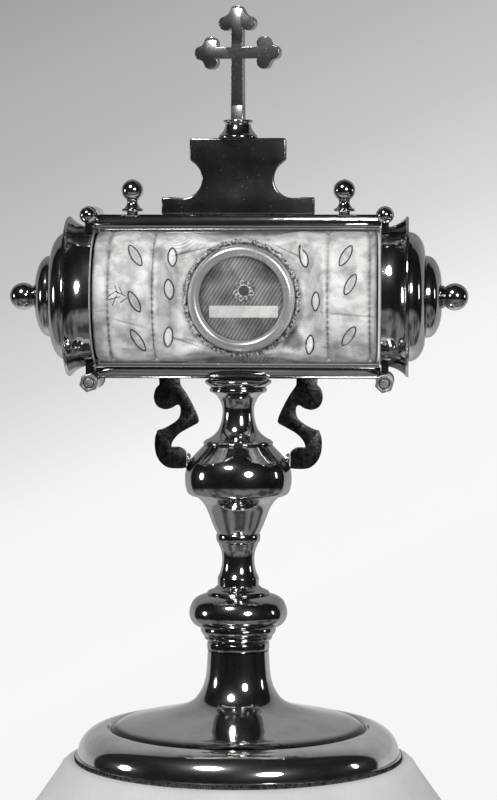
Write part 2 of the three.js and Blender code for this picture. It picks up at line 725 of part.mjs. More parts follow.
// Round case, sewn into the roll's pocket

function ringProfile() {
  const seatDepth = windowDepth + windowThickness + appliqueGap;
  const boreRadius = ringRadius - ringTube;
  const front = arc(ringRadius, ringDepth, ringTube, ringTube, 0, 172, 6);
  return closed([[ringRadius + 1.9, ringBackDepth], ...front,
    [boreRadius, seatDepth], [ringSeatRadius, seatDepth], [ringSeatRadius, ringBackDepth]]);
}

// The braid follows the roll: further forward at its sides than at its top and bottom
function braidGeometry() {
  const rings = Array.from({ length: braidStations }, (unused, station) => {
    const around = (2 * Math.PI * station) / braidStations;
    const depth = THREE.MathUtils.lerp(braidTopDepth, braidSideDepth, Math.cos(around) ** 2);
    return Array.from({ length: braidSides }, (blank, side) => {
      const angle = (2 * Math.PI * side) / braidSides;
      const radius = braidRadius + braidTube * Math.cos(angle);
      return [radius * Math.cos(around), -depth - braidTube * Math.sin(angle), radius * Math.sin(around)];
    });
  });
  return ringSolid(rings);
}

function flowerShape() {
  const { radius, hole, petals } = flowerSize;
  const steps = petals * 6;
  const shape = shapeOf(Array.from({ length: steps }, (unused, step) => {
    const angle = (2 * Math.PI * step) / steps;
    const reach = radius * (0.76 + 0.24 * Math.abs(Math.cos((petals * angle) / 2)));
    return [reach * Math.cos(angle), reach * Math.sin(angle)];
  }));
  shape.holes.push(new THREE.Path().absarc(0, 0, hole, 0, 2 * Math.PI, true));
  return shape;
}

function addCase() {
  const theca = new THREE.Group();
  theca.position.set(caseX, 0, -caseDrop);
  head.add(theca);
  const bowlRadius = caseRadius - caseWall;
  const floorDepth = caseBackDepth + caseWall;
  const bowl = [[0, caseBackDepth], [caseRadius, caseBackDepth], [caseRadius, caseFrontDepth],
    [bowlRadius, caseFrontDepth], [bowlRadius, floorDepth], [0, floorDepth]];
  const disc = onAxis([[discRadius, discDepth], [discRadius, discDepth + discThickness]]);
  const pane = onAxis([[windowRadius, windowDepth], [windowRadius, windowDepth + windowThickness]]);
  const faceDepth = discDepth + discThickness + appliqueGap;
  const label = new THREE.BoxGeometry(labelSize.width, labelSize.thickness, labelSize.height);
  const flower = plate(flowerShape(), flowerSize.thickness, 0, 4);
  addPart(theca, 'theca_case', latheFront(bowl, capSides), darkMetal);
  addPart(theca, 'theca_disc', latheFront(disc, capSides), greySilk);
  addPart(theca, 'theca_glass', latheFront(pane, capSides), clearGlass);
  addPart(theca, 'theca_ring', latheFront(ringProfile(), capSides), silvered);
  addPart(theca, 'braid_trim', braidGeometry(), metalThread);
  const labelY = -faceDepth - labelSize.thickness / 2;
  addPart(theca, 'theca_label', label, paper).position.set(labelSize.x, labelY, labelSize.z);
  const flowerY = -faceDepth - flowerSize.thickness / 2;
  addPart(theca, 'theca_flower', flower, metalThread).position.set(flowerSize.x, flowerY, flowerSize.z);
}

function addRoll() {
  addPart(head, 'silk_roll', rollGeometry(), ivorySilk);
  const core = rod(coreRadius, -coreHalfLength, coreHalfLength, smallSides).rotateZ(-Math.PI / 2);
  addPart(head, 'roll_core', core, limewood);
}

addStem();
addTieRod();
addRails();
addBrackets();
addKnobs();
addCrown();
addCaps();
addHingePins();
addGlass();
addRoll();
addCase();

export default reliquary;
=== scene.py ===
import bpy
import math
import random
import numpy as np
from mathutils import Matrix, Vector


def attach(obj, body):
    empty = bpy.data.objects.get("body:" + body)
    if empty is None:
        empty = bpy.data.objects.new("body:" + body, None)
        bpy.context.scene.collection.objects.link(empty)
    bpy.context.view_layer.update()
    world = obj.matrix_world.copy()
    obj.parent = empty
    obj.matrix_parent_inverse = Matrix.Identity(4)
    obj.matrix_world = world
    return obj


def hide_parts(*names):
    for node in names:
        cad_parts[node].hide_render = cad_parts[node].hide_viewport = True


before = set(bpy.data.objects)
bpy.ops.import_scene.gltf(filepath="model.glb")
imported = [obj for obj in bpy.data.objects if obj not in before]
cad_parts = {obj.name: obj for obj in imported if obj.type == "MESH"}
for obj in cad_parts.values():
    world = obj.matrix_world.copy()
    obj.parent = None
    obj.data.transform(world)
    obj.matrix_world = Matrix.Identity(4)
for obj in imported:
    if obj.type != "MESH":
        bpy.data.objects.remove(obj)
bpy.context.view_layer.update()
mm = 0.001
axisHeight = 198.0  # middle of the glass tube; outlines and sizes below are in millimetres
print("frame loaded")


# camera: a long lens, a little above the tube and a little to the right of its middle

camSettings = {
    "distance": 1.25, "height": 0.240, "azimuth": 3.4, "aimOffset": 0.2, "pitchDown": 3.94, "lens": 132.35}


def buildCamera(s):
    bpy.ops.object.camera_add()
    camera = bpy.context.object
    camera.name = "photoCamera"
    around = math.radians(s["azimuth"])
    camera.location = (s["distance"] * math.sin(around), -s["distance"] * math.cos(around), s["height"])
    aim = math.radians(s["azimuth"] - s["aimOffset"])
    camera.rotation_euler = (math.radians(90 - s["pitchDown"]), 0, aim)
    camera.data.lens = s["lens"]
    camera.data.sensor_width = 36
    camera.data.clip_start = 0.05
    camera.data.clip_end = 50
    bpy.context.scene.camera = camera


buildCamera(camSettings)


# small helpers for node trees; a tone is one number for grey, or three for a colour

def colourOf(tone):
    return (tone, tone, tone) if isinstance(tone, (int, float)) else tone


def setInput(tree, socket, value):
    if isinstance(value, bpy.types.Node):
        value = value.outputs[0]
    if isinstance(value, bpy.types.NodeSocket):
        tree.links.new(value, socket)
    elif socket.type == "RGBA":
        socket.default_value = (*colourOf(value), 1)
    else:
        socket.default_value = value


def addNode(tree, kind, settings=None, **inputs):
    node = tree.nodes.new(kind)
    for key, value in (settings or {}).items():
        setattr(node, key, value)
    for key, value in inputs.items():
        setInput(tree, node.inputs[key.replace("_", " ")], value)
    return node


def mathNode(tree, operation, *values, clamp=False):
    node = addNode(tree, "ShaderNodeMath", {"operation": operation, "use_clamp": clamp})
    for socket, value in zip(node.inputs, values):
        setInput(tree, socket, value)
    return node.outputs[0]


def plus(tree, first, second):
    return mathNode(tree, "ADD", first, second)


def minus(tree, first, second):
    return mathNode(tree, "SUBTRACT", first, second)


def times(tree, first, second):
    return mathNode(tree, "MULTIPLY", first, second)


def lengthNode(tree, first, second):
    return mathNode(tree, "SQRT", plus(tree, times(tree, first, first), times(tree, second, second)))


def rampNode(tree, source, stops, smooth=True):
    node = addNode(tree, "ShaderNodeValToRGB", Fac=source)
    node.color_ramp.interpolation = "EASE" if smooth else "LINEAR"
    elements = node.color_ramp.elements
    while len(elements) < len(stops):
        elements.new(0.5)
    for element, (place, tone) in zip(elements, stops):
        element.position = place
        element.color = (*colourOf(tone), 1)
    return node.outputs[0]


def mapRange(tree, source, low, high, toLow, toHigh):
    return addNode(tree, "ShaderNodeMapRange", Value=source, From_Min=low, From_Max=high, To_Min=toLow,
                   To_Max=toHigh).outputs[0]


def smoothRange(tree, source, low, high, toLow, toHigh):
    return addNode(tree, "ShaderNodeMapRange", {"interpolation_type": "SMOOTHSTEP"}, Value=source,
                   From_Min=low, From_Max=high, To_Min=toLow, To_Max=toHigh).outputs[0]


def mixNode(tree, factor, first, second, kind="MIX"):
    return addNode(tree, "ShaderNodeMix", {"data_type": "RGBA", "blend_type": kind}, Factor=factor, A=first,
                   B=second).outputs["Result"]


def shadeBy(tree, colour, shade, factor=1.0):
    return mixNode(tree, factor, colour, shade, "MULTIPLY")


def noiseNode(tree, place, scale, detail, **inputs):
    return addNode(tree, "ShaderNodeTexNoise", Vector=place, Scale=scale, Detail=detail, **inputs).outputs[0]


def waveNode(tree, place, direction, scale, distortion, **inputs):
    return addNode(tree, "ShaderNodeTexWave", {"wave_type": "BANDS", "bands_direction": direction},
                   Vector=place, Scale=scale, Distortion=distortion, **inputs).outputs["Fac"]


def splitNode(tree, place):
    return addNode(tree, "ShaderNodeSeparateXYZ", Vector=place).outputs


def bumpNode(tree, height, strength, distance, **inputs):
    return addNode(tree, "ShaderNodeBump", Height=height, Strength=strength, Distance=distance,
                   **inputs).outputs[0]


def surfaceNode(tree, **inputs):
    return addNode(tree, "ShaderNodeBsdfPrincipled", **inputs)


def blendNode(tree, amount, first, second):
    node = tree.nodes.new("ShaderNodeMixShader")
    for socket, value in zip(node.inputs, (amount, first, second)):
        setInput(tree, socket, value)
    return node


def newMaterial(name):
    material = bpy.data.materials.new(name)
    material.use_nodes = True
    tree = material.node_tree
    tree.nodes.clear()
    return material, tree, addNode(tree, "ShaderNodeTexCoord").outputs


def closeMaterial(material, surface):
    addNode(material.node_tree, "ShaderNodeOutputMaterial", Surface=surface)
    return material


# world: the pale paper behind for the camera, the same paper, a table and a dark room for polished metal

studio = {
    "ambient": 0.60,
    "paperEdge": 0.50,
    "paperRoof": 0.90,
    "paperSoft": 0.02,
    "paperSides": 0.45,
    "paperSeen": [(0.0, 0.92), (0.074, 0.945), (0.222, 0.935), (0.326, 0.90), (0.467, 0.71), (0.604, 0.575),
                  (0.741, 0.485), (0.841, 0.44), (0.98, 0.36)],
    "paperShine": [(0.0, 0.95), (0.2, 0.86), (0.32, 0.64), (0.6, 0.47), (1.0, 0.3)],
    "room": 0.0032,
    "table": 0.30,
}


def buildWorld(s):
    world = bpy.data.worlds.new("studio")
    bpy.context.scene.world = world
    world.use_nodes = True
    tree = world.node_tree
    tree.nodes.clear()
    place = addNode(tree, "ShaderNodeTexCoord").outputs["Generated"]
    x, y, z = splitNode(tree, place)
    tilt = plus(tree, z, times(tree, plus(tree, x, 0.056), -0.45))
    paper = rampNode(tree, mapRange(tree, tilt, -0.16, 0.11, 0, 1), s["paperSeen"], smooth=False)
    behind = mathNode(tree, "DIVIDE", y, mathNode(tree, "MAXIMUM", lengthNode(tree, x, y), 0.001))
    edge, roof, soft = s["paperEdge"], s["paperRoof"], s["paperSoft"]
    onPaper = times(tree, smoothRange(tree, behind, edge - soft, edge + soft, 0, 1),
                    smoothRange(tree, z, roof - soft, roof + soft, 1, 0))
    height = rampNode(tree, mapRange(tree, z, -0.2, 0.9, 0, 1), s["paperShine"])
    paperShine = shadeBy(tree, height, mapRange(tree, behind, edge, 1.0, s["paperSides"], 1.0))
    room = rampNode(tree, noiseNode(tree, place, 3.2, 3.0), [
        (0.35, s["room"]), (0.62, s["room"] * 3), (0.72, s["room"] * 6)])
    table = rampNode(tree, noiseNode(tree, place, 2.6, 4.0), [(0.36, s["table"] * 0.25), (0.6, s["table"])])
    below = mixNode(tree, smoothRange(tree, z, -0.26, -0.44, 0, 1), room, table)
    shine = mixNode(tree, onPaper, below, paperShine)
    path = addNode(tree, "ShaderNodeLightPath").outputs
    seen = mathNode(tree, "MAXIMUM", path["Is Camera Ray"], path["Is Transmission Ray"])
    unseen = mixNode(tree, path["Is Glossy Ray"], s["ambient"], shine)
    background = addNode(tree, "ShaderNodeBackground", Color=mixNode(tree, seen, unseen, paper), Strength=1.0)
    addNode(tree, "ShaderNodeOutputWorld", Surface=background)


buildWorld(studio)


# lamps: two round floodlights in front, a smaller one far to the left and a narrow one far to the right

lampSettings = [
    {"name": "floodLeft", "azimuth": -27, "elevation": 45, "width": 0.30, "height": 0.30, "power": 6.4},
    {"name": "floodRight", "azimuth": 23, "elevation": 18, "width": 0.32, "height": 0.32, "power": 3.4},
    {"name": "sideLeft", "azimuth": -86, "elevation": 4, "width": 0.20, "height": 0.28, "power": 0.9},
    {"name": "sideRight", "azimuth": 90, "elevation": 6, "width": 0.08, "height": 0.26, "power": 0.35},
]
lampDistance = 1.1
lampTarget = Vector((0, 0, 0.15))


def buildLamps(lamps):
    for s in lamps:
        around = math.radians(s["azimuth"] + camSettings["azimuth"])
        up = math.radians(s["elevation"])
        towards = Vector((math.sin(around) * math.cos(up), -math.cos(around) * math.cos(up), math.sin(up)))
        bpy.ops.object.light_add(type="AREA", location=lampTarget + towards * lampDistance)
        lamp = bpy.context.object
        lamp.name = s["name"]
        lamp.data.shape = "ELLIPSE"
        lamp.data.size = s["width"]
        lamp.data.size_y = s["height"]
        lamp.data.energy = s["power"]
        lamp.rotation_euler = towards.to_track_quat("Z", "Y").to_euler()
        lamp.visible_camera = False


buildLamps(lampSettings)


# under the foot: a round stand covered with a woven cloth, on a pale floor that fades into the paper

standSettings = {"inner": 20, "top": 72, "edge": 5, "slope": 0.72, "drop": 45, "weave": 1.05}
floorSettings = {"radius": 1.2, "colour": 0.9, "fadeFrom": 0.105, "fadeTo": 0.165}


def floorMaterial(s):
    material, tree, coords = newMaterial("paleFloor")
    x, y, z = splitNode(tree, coords["Object"])
    fade = smoothRange(tree, lengthNode(tree, x, y), s["fadeFrom"], s["fadeTo"], 0, 1)
    path = addNode(tree, "ShaderNodeLightPath").outputs
    unseen = mathNode(tree, "MAXIMUM", path["Is Glossy Ray"], times(tree, path["Is Camera Ray"], fade))
    surface = surfaceNode(tree, Base_Color=s["colour"], Roughness=0.85, Specular_IOR_Level=0.2)
    clear = addNode(tree, "ShaderNodeBsdfTransparent")
    return closeMaterial(material, blendNode(tree, unseen, surface, clear))


def clothMaterial(s):
    material, tree, coords = newMaterial("wovenCloth")
    weave = times(tree, *[waveNode(tree, coords["Object"], way, 314.0 / s["weave"], 0.6) for way in "XY"])
    tone = rampNode(tree, noiseNode(tree, coords["Object"], 22.0, 5.0), [(0.3, 0.51), (0.7, 0.58)])
    colour = shadeBy(tree, tone, rampNode(tree, weave, [(0.0, 0.93), (0.8, 1.0)]))
    return closeMaterial(material, surfaceNode(tree, Base_Color=colour, Roughness=0.9, Specular_IOR_Level=0.2,
                                               Normal=bumpNode(tree, weave, 0.5, 0.0002)))


def addDisc(name, sides, radius, height):
    bpy.ops.object.select_all(action="DESELECT")
    bpy.ops.mesh.primitive_circle_add(
        vertices=sides, radius=radius, fill_type="NGON", location=(0, 0, height))
    disc = bpy.context.object
    disc.name = name
    return disc


def buildFloor(s, stand):
    floor = addDisc("floor", 96, s["radius"], -stand["drop"] * mm)
    floor.data.materials.append(floorMaterial(s))
    cloth = addDisc("clothStand", 192, stand["inner"] * mm, 0)
    top, edge, drop = stand["top"], stand["edge"], stand["drop"]
    rings = [(45, 0), (top, 0), (top + 0.4 * edge, -0.1 * edge), (top + 0.75 * edge, -0.4 * edge),
             (top + edge, -0.85 * edge), (top + edge + stand["slope"] * (drop - edge), -drop)]
    bpy.ops.object.mode_set(mode="EDIT")
    bpy.ops.mesh.select_all(action="SELECT")
    before = (stand["inner"], 0)
    for radius, height in rings:
        grow = radius / before[0]
        bpy.ops.mesh.extrude_region_move(TRANSFORM_OT_translate={"value": (0, 0, (height - before[1]) * mm)})
        bpy.ops.transform.resize(value=(grow, grow, 1), center_override=(0, 0, height * mm))
        before = (radius, height)
    bpy.ops.mesh.select_all(action="SELECT")
    bpy.ops.mesh.remove_doubles(threshold=1e-6)
    bpy.ops.mesh.normals_make_consistent(inside=False)
    bpy.ops.object.mode_set(mode="OBJECT")
    bpy.ops.object.shade_smooth_by_angle(angle=math.radians(40))
    cloth.data.materials.append(clothMaterial(stand))


buildFloor(floorSettings, standSettings)
bpy.context.scene.view_settings.view_transform = "Standard"
print("camera, world, lamps and floor ready")


# parts of finishes: distance from a spot or a line on the front, used for painted shade on the silk, low
# domes, and a ring round the Z axis whose colour is made darker or lighter, used for painted shade on the
# foot

def distanceNode(tree, place, x, z, reachX, reachZ):
    split = splitNode(tree, place)
    return lengthNode(tree, *[times(tree, minus(tree, split[axis], centre * mm), 1 / (reach * mm))
                              for axis, centre, reach in (("X", x, reachX), ("Z", z, reachZ))])


def lineNode(tree, place, start, end):
    split = splitNode(tree, place)
    run = (end[0] - start[0], end[1] - start[1])
    square = run[0] ** 2 + run[1] ** 2
    x, z = [minus(tree, split[axis], centre * mm) for axis, centre in zip("XZ", start)]
    share = mathNode(tree, "ADD", times(tree, x, run[0] / square / mm), times(tree, z, run[1] / square / mm),
                     clamp=True)
    off = [minus(tree, side, times(tree, share, reach * mm)) for side, reach in zip((x, z), run)]
    return lengthNode(tree, *off), share


def domedFace(tree, place, domes):
    total = 0.0
    for x, z, reach, rise in domes:
        away = distanceNode(tree, place, x, z, reach, reach)
        inside = mathNode(tree, "MAXIMUM", minus(tree, 1.0, times(tree, away, away)), 0.0)
        total = mathNode(tree, "MAXIMUM", total, times(tree, inside, rise * mm))
    return bumpNode(tree, total, 1.0, 1.0)


def paintedRingShade(tree, place, tone, inner, outer, left):
    split = splitNode(tree, place)
    reach = lengthNode(tree, split["X"], split["Y"])
    ring = times(tree, smoothRange(tree, reach, (inner - 1.6) * mm, (inner + 0.8) * mm, 0, 1),
                 smoothRange(tree, reach, outer * mm, (outer + 0.2) * mm, 1, 0))
    return shadeBy(tree, tone, mapRange(tree, ring, 0, 1, 1.0, left))


# metal: domes are (x, z, reach, rise) of low bulges on the front, rings are (inner, outer, tone left);
# a ring with tone left below one is painted shade, and above one it makes the band lighter

metalBase = {
    "rough": (0.045, 0.11), "patchScale": 55.0, "speckScale": 900.0, "speckRough": 0.08, "scratch": 0.12,
    "scratchStretch": (60.0, 60.0, 1400.0), "scratchDepth": 0.00004, "dent": 0.12, "dentScale": 48.0,
    "metallic": 1.0, "slant": 0.5, "haze": 0.06, "hazeRough": 0.34, "domes": [], "rings": []}


def finishMetal(name, changes):
    s = {**metalBase, **changes}
    material, tree, coords = newMaterial(name)
    place = coords["Object"]
    patches = noiseNode(tree, place, s["patchScale"], 5.0, Roughness=0.6)
    specks = noiseNode(tree, place, s["speckScale"], 3.0)
    dents = noiseNode(tree, place, s["dentScale"], 2.0)
    stretch = addNode(tree, "ShaderNodeMapping", Vector=place, Scale=s["scratchStretch"])
    scratches = noiseNode(tree, stretch, 1.0, 4.0, Roughness=0.7)
    tone = rampNode(tree, patches, [(0.3, s["dark"]), (0.62, s["pale"])])
    for ring in s["rings"]:
        tone = paintedRingShade(tree, place, tone, *ring)
    rough = mathNode(tree, "ADD", mapRange(tree, patches, 0.3, 0.75, *s["rough"]),
                     mapRange(tree, specks, 0.62, 0.8, 0.0, s["speckRough"]), clamp=True)
    domed = {"Normal": domedFace(tree, place, s["domes"])} if s["domes"] else {}
    uneven = bumpNode(tree, dents, s["dent"], 0.0006, **domed)
    bump = bumpNode(tree, scratches, s["scratch"], s["scratchDepth"], Normal=uneven)
    look = {"Base_Color": tone, "Specular_Tint": s["slant"], "Normal": bump}
    polished = surfaceNode(tree, Metallic=s["metallic"], Roughness=rough, **look)
    hazy = surfaceNode(tree, Metallic=1.0, Roughness=s["hazeRough"], **look)
    return closeMaterial(material, blendNode(tree, s["haze"], polished, hazy))


silverTones = {"dark": (0.44, 0.433, 0.42), "pale": (0.58, 0.572, 0.558)}
silvered = finishMetal("silveredMetal", silverTones)
# the foot: the dark band on the trumpet just inside the step is painted shade; from the rim outwards the
# metal is lighter
footMetal = finishMetal("silveredFoot", {
    "dark": (0.51, 0.503, 0.49), "pale": (0.64, 0.63, 0.615), "rough": (0.045, 0.10), "slant": 0.6,
    "dent": 0.08, "rings": [(52.4, 54.7, 0.14), (56.6, 75.0, 1.42)]})
turnedSide = finishMetal("silveredCaps", {
    **silverTones, "scratch": 0.14, "scratchStretch": (1400.0, 60.0, 60.0), "dent": 0.22, "dentScale": 110.0})
flatPlate = {"scratch": 0.25, "scratchStretch": (90.0, 90.0, 900.0), "speckRough": 0.3, "slant": 0.35}
plateMetal = finishMetal("silveredPlate", {
    **flatPlate, "dark": (0.326, 0.322, 0.312), "pale": (0.441, 0.434, 0.423), "rough": (0.10, 0.22),
    "dent": 0.2, "haze": 0.1})
crossMetal = finishMetal("silveredCross", {
    **flatPlate, "dark": (0.404, 0.398, 0.389), "pale": (0.531, 0.525, 0.513), "rough": (0.13, 0.22),
    "dent": 0.15, "haze": 0.24, "hazeRough": 0.42,
    "domes": [(-11.4, 298.9, 7.5, 0.9), (-0.8, 312.2, 7.5, 0.9), (0.0, 267.4, 11.4, 2.2)]})
wornMetal = finishMetal("filedMetal", {
    "dark": (0.0334, 0.0328, 0.0319), "pale": (0.0963, 0.0951, 0.0927), "rough": (0.22, 0.32), "scratch": 0.8,
    "scratchStretch": (300.0, 300.0, 2600.0), "scratchDepth": 0.00012, "patchScale": 500.0, "dent": 0.05})
satinMetal = finishMetal("satinMetal", {
    "dark": (0.599, 0.593, 0.578), "pale": (0.776, 0.768, 0.752), "rough": (0.20, 0.32), "scratch": 0.15,
    "slant": 0.45, "metallic": 0.65, "haze": 0.3})
nutMetal = finishMetal("greyNut", {
    "dark": (0.30, 0.296, 0.288), "pale": (0.50, 0.493, 0.48), "rough": (0.22, 0.34), "scratch": 0.3,
    "slant": 0.45, "patchScale": 300.0, "metallic": 0.75})
# the milled edge band is far darker than the foot: dirt in its grooves and painted shade between its teeth
edgeMetal = finishMetal("milledEdge", {
    "dark": (0.0481, 0.0475, 0.0463), "pale": (0.251, 0.248, 0.242), "rough": (0.3, 0.45), "scratch": 0.5,
    "patchScale": 600.0})


# glass: clear, with smears; where a ray enters it at a slant it shines a little and darkens;
# on the tube the darkening is far stronger than the glass would give, painted shade along the top and bottom
# of the silk behind it

def finishGlass(name, smeared, clean, shine, edge):
    material, tree, coords = newMaterial(name)
    place = coords["Object"]
    gloss = surfaceNode(tree, Base_Color=1.0, Metallic=1.0, Roughness=0.04,
                        Normal=bumpNode(tree, noiseNode(tree, place, 35.0, 1.0), 0.1, 0.0006))
    entering = minus(tree, 1.0, addNode(tree, "ShaderNodeNewGeometry").outputs["Backfacing"])
    leaning = times(tree, entering, addNode(tree, "ShaderNodeFresnel", IOR=1.45).outputs[0])
    smears = rampNode(tree, noiseNode(tree, place, 60.0, 5.0), [(0.35, smeared), (0.65, clean)])
    slantShadedTint = shadeBy(tree, smears, mapRange(tree, leaning, 0.08, 0.30, 1.0, edge))
    clear = addNode(tree, "ShaderNodeBsdfTransparent", Color=slantShadedTint)
    amount = mapRange(tree, leaning, 0.04, 0.25, 0.0, shine)
    return closeMaterial(material, blendNode(tree, amount, clear, gloss))


# the tube's edge tone of 0.12 paints shade on the silk near the top and bottom of the tube
tubeGlass = finishGlass("tubeGlass", (0.965, 0.97, 0.965), (0.99, 0.995, 0.99), shine=0.09, edge=0.12)
caseGlass = finishGlass("caseGlass", (0.97, 0.975, 0.97), (0.99, 0.995, 0.99), shine=0.15, edge=0.8)


# paper, felt, wood and cloth: patches of tone with fine fibres

def finishSoft(name, s):
    material, tree, coords = newMaterial(name)
    patches = noiseNode(tree, coords["Object"], s["patchScale"], 6.0, Roughness=0.65)
    fibres = noiseNode(tree, coords["Object"], s["fibreScale"], 3.0)
    tone = rampNode(tree, patches, [(0.3, s["dark"]), (0.7, s["pale"])])
    return closeMaterial(material, surfaceNode(tree, Base_Color=tone, Roughness=s["rough"],
                                               Normal=bumpNode(tree, fibres, s["bump"], s["bumpDepth"])))


paperStrip = finishSoft("paperStrip", {
    "dark": (0.50, 0.497, 0.487), "pale": (0.64, 0.636, 0.622), "patchScale": 260.0, "fibreScale": 2600.0,
    "bump": 0.25, "bumpDepth": 0.00003, "rough": 0.9})
feltRing = finishSoft("feltRing", {
    "dark": (0.26, 0.25, 0.225), "pale": (0.38, 0.365, 0.33), "patchScale": 500.0, "fibreScale": 3000.0,
    "bump": 0.6, "bumpDepth": 0.0001, "rough": 0.95})
coreWood = finishSoft("coreWood", {
    "dark": (0.31, 0.265, 0.205), "pale": (0.47, 0.415, 0.335), "patchScale": 120.0, "fibreScale": 900.0,
    "bump": 0.4, "bumpDepth": 0.0001, "rough": 0.7})
darkCloth = finishSoft("darkCloth", {
    "dark": (0.0286, 0.028, 0.0274), "pale": (0.0865, 0.085, 0.0835), "patchScale": 700.0,
    "fibreScale": 4000.0,
    "bump": 0.7, "bumpDepth": 0.0001, "rough": 0.8})


# thread: specks between a dark and a pale tone; on the metal thread, bright specks on near black are painted
# glints

def finishThread(name, dark, pale, rough, metallic, glint=1500.0, depth=0.0001):
    material, tree, coords = newMaterial(name)
    specksAndGlints = noiseNode(tree, coords["Object"], glint, 4.0, Roughness=0.7)
    tone = rampNode(tree, specksAndGlints, [(0.38, dark), (0.62, pale)])
    return closeMaterial(material, surfaceNode(tree, Base_Color=tone, Roughness=rough, Metallic=metallic,
                                               Normal=bumpNode(tree, specksAndGlints, 1.0, depth)))


# the metal thread's pale tone on near black paints glints into its colour
metalThread = finishThread(
    "metalThread", (0.012, 0.0115, 0.011), (1.0, 0.99, 0.965), 0.28, 0.25, 750.0, 0.0004)
greyThread = finishThread("greyThread", (0.0193, 0.019, 0.0187), (0.0865, 0.085, 0.0835), 0.45, 0.3)
brightThread = finishThread("brightThread", (0.599, 0.593, 0.578), (0.977, 0.971, 0.953), 0.3, 0.35)
padThread = finishThread("padThread", (0.82, 0.812, 0.79), (1.0, 0.99, 0.965), 0.24, 0.0, 900.0)


# silk: fine ribs along the piece's own map, given in millimetres, with stains, wrinkles and painted shade
# seams are (x, depth, half width): painted shade in the seam grooves, and darker towards both ends;
# shade spots are (x, z, reach x, reach z, depth): painted shadows, and a depth below zero makes a painted
# highlight;
# shade lines are (start, end, half width, depth): painted shade along darts and creases;
# spots and lines are on the front only, with z from the tube's middle

def finishSilk(name, s):
    material, tree, coords = newMaterial(name)
    place = coords["Object"]
    turn = addNode(tree, "ShaderNodeMapping", Vector=coords["UV"],
                   Rotation=(0, 0, math.radians(s["ribAngle"])))
    ribs = waveNode(tree, turn, "X", s["ribScale"], s["ribWander"], Detail=1.0, Detail_Scale=2.0)
    patches = noiseNode(tree, place, s["patchScale"], 4.0, Roughness=0.55, Distortion=0.15)
    slubs = noiseNode(tree, place, s["slubScale"], 3.0)
    stains = noiseNode(tree, place, s["stainScale"], 4.0, Distortion=0.4)
    ribDepth = smoothRange(tree, stains, 0.40, 0.62, *s["ribTone"])
    colour = rampNode(tree, patches, [(0.32, s["dark"]), (0.64, s["pale"])])
    colour = shadeBy(tree, colour, rampNode(tree, ribs, [(0.15, 0.45), (0.6, 1.0)]), ribDepth)
    stained = rampNode(tree, stains, [(0.30, 0.62), (0.46, 0.9), (0.6, 1.0)])
    colour = shadeBy(tree, colour, stained, s["stain"])
    split = splitNode(tree, place)
    # painted shade in the seam grooves, and darker towards both ends of the roll
    for x, depth, half in s["seams"]:
        away = mathNode(tree, "ABSOLUTE", minus(tree, split["X"], x * mm))
        away = plus(tree, away, times(tree, slubs, 0.0006))
        colour = shadeBy(tree, colour, smoothRange(tree, away, 0.00035, (half + 0.3) * mm, 1 - depth, 1.0))
    behind = mathNode(tree, "MAXIMUM", split["Y"], 0.0)
    # painted shadows, and painted highlights where the depth is below zero
    for x, z, reachX, reachZ, depth in s["paintedShades"]:
        away = distanceNode(tree, place, x, axisHeight + z, reachX, reachZ)
        away = plus(tree, away, mapRange(tree, stains, 0.3, 0.7, -0.3, 0.3))
        away = plus(tree, away, times(tree, behind, 100.0))
        colour = shadeBy(tree, colour, smoothRange(tree, away, 0.45, 1.15, 1 - depth, 1.0))
    # painted shade along the darts and creases
    for (x0, z0), (x1, z1), half, depth in s["foldShades"]:
        away, share = lineNode(tree, place, (x0, axisHeight + z0), (x1, axisHeight + z1))
        for more in (times(tree, share, half * 0.5 * mm), times(tree, slubs, 0.0003), behind):
            away = plus(tree, away, more)
        colour = shadeBy(tree, colour, smoothRange(tree, away, 0.0002, (half + 0.3) * mm, 1 - depth, 1.0))
    creased = bumpNode(tree, noiseNode(tree, place, 170.0, 3.0, Distortion=0.4), s["wrinkle"], 0.0009)
    height = plus(tree, times(tree, ribs, s["ribBump"]), times(tree, slubs, 0.5))
    bump = bumpNode(tree, height, s["bump"], s["bumpDepth"], Normal=creased)
    surface = surfaceNode(tree, Base_Color=colour, Roughness=s["rough"], Sheen_Weight=s["sheen"],
                          Sheen_Roughness=0.35, Anisotropic=0.4, Normal=bump)
    return closeMaterial(material, surface)


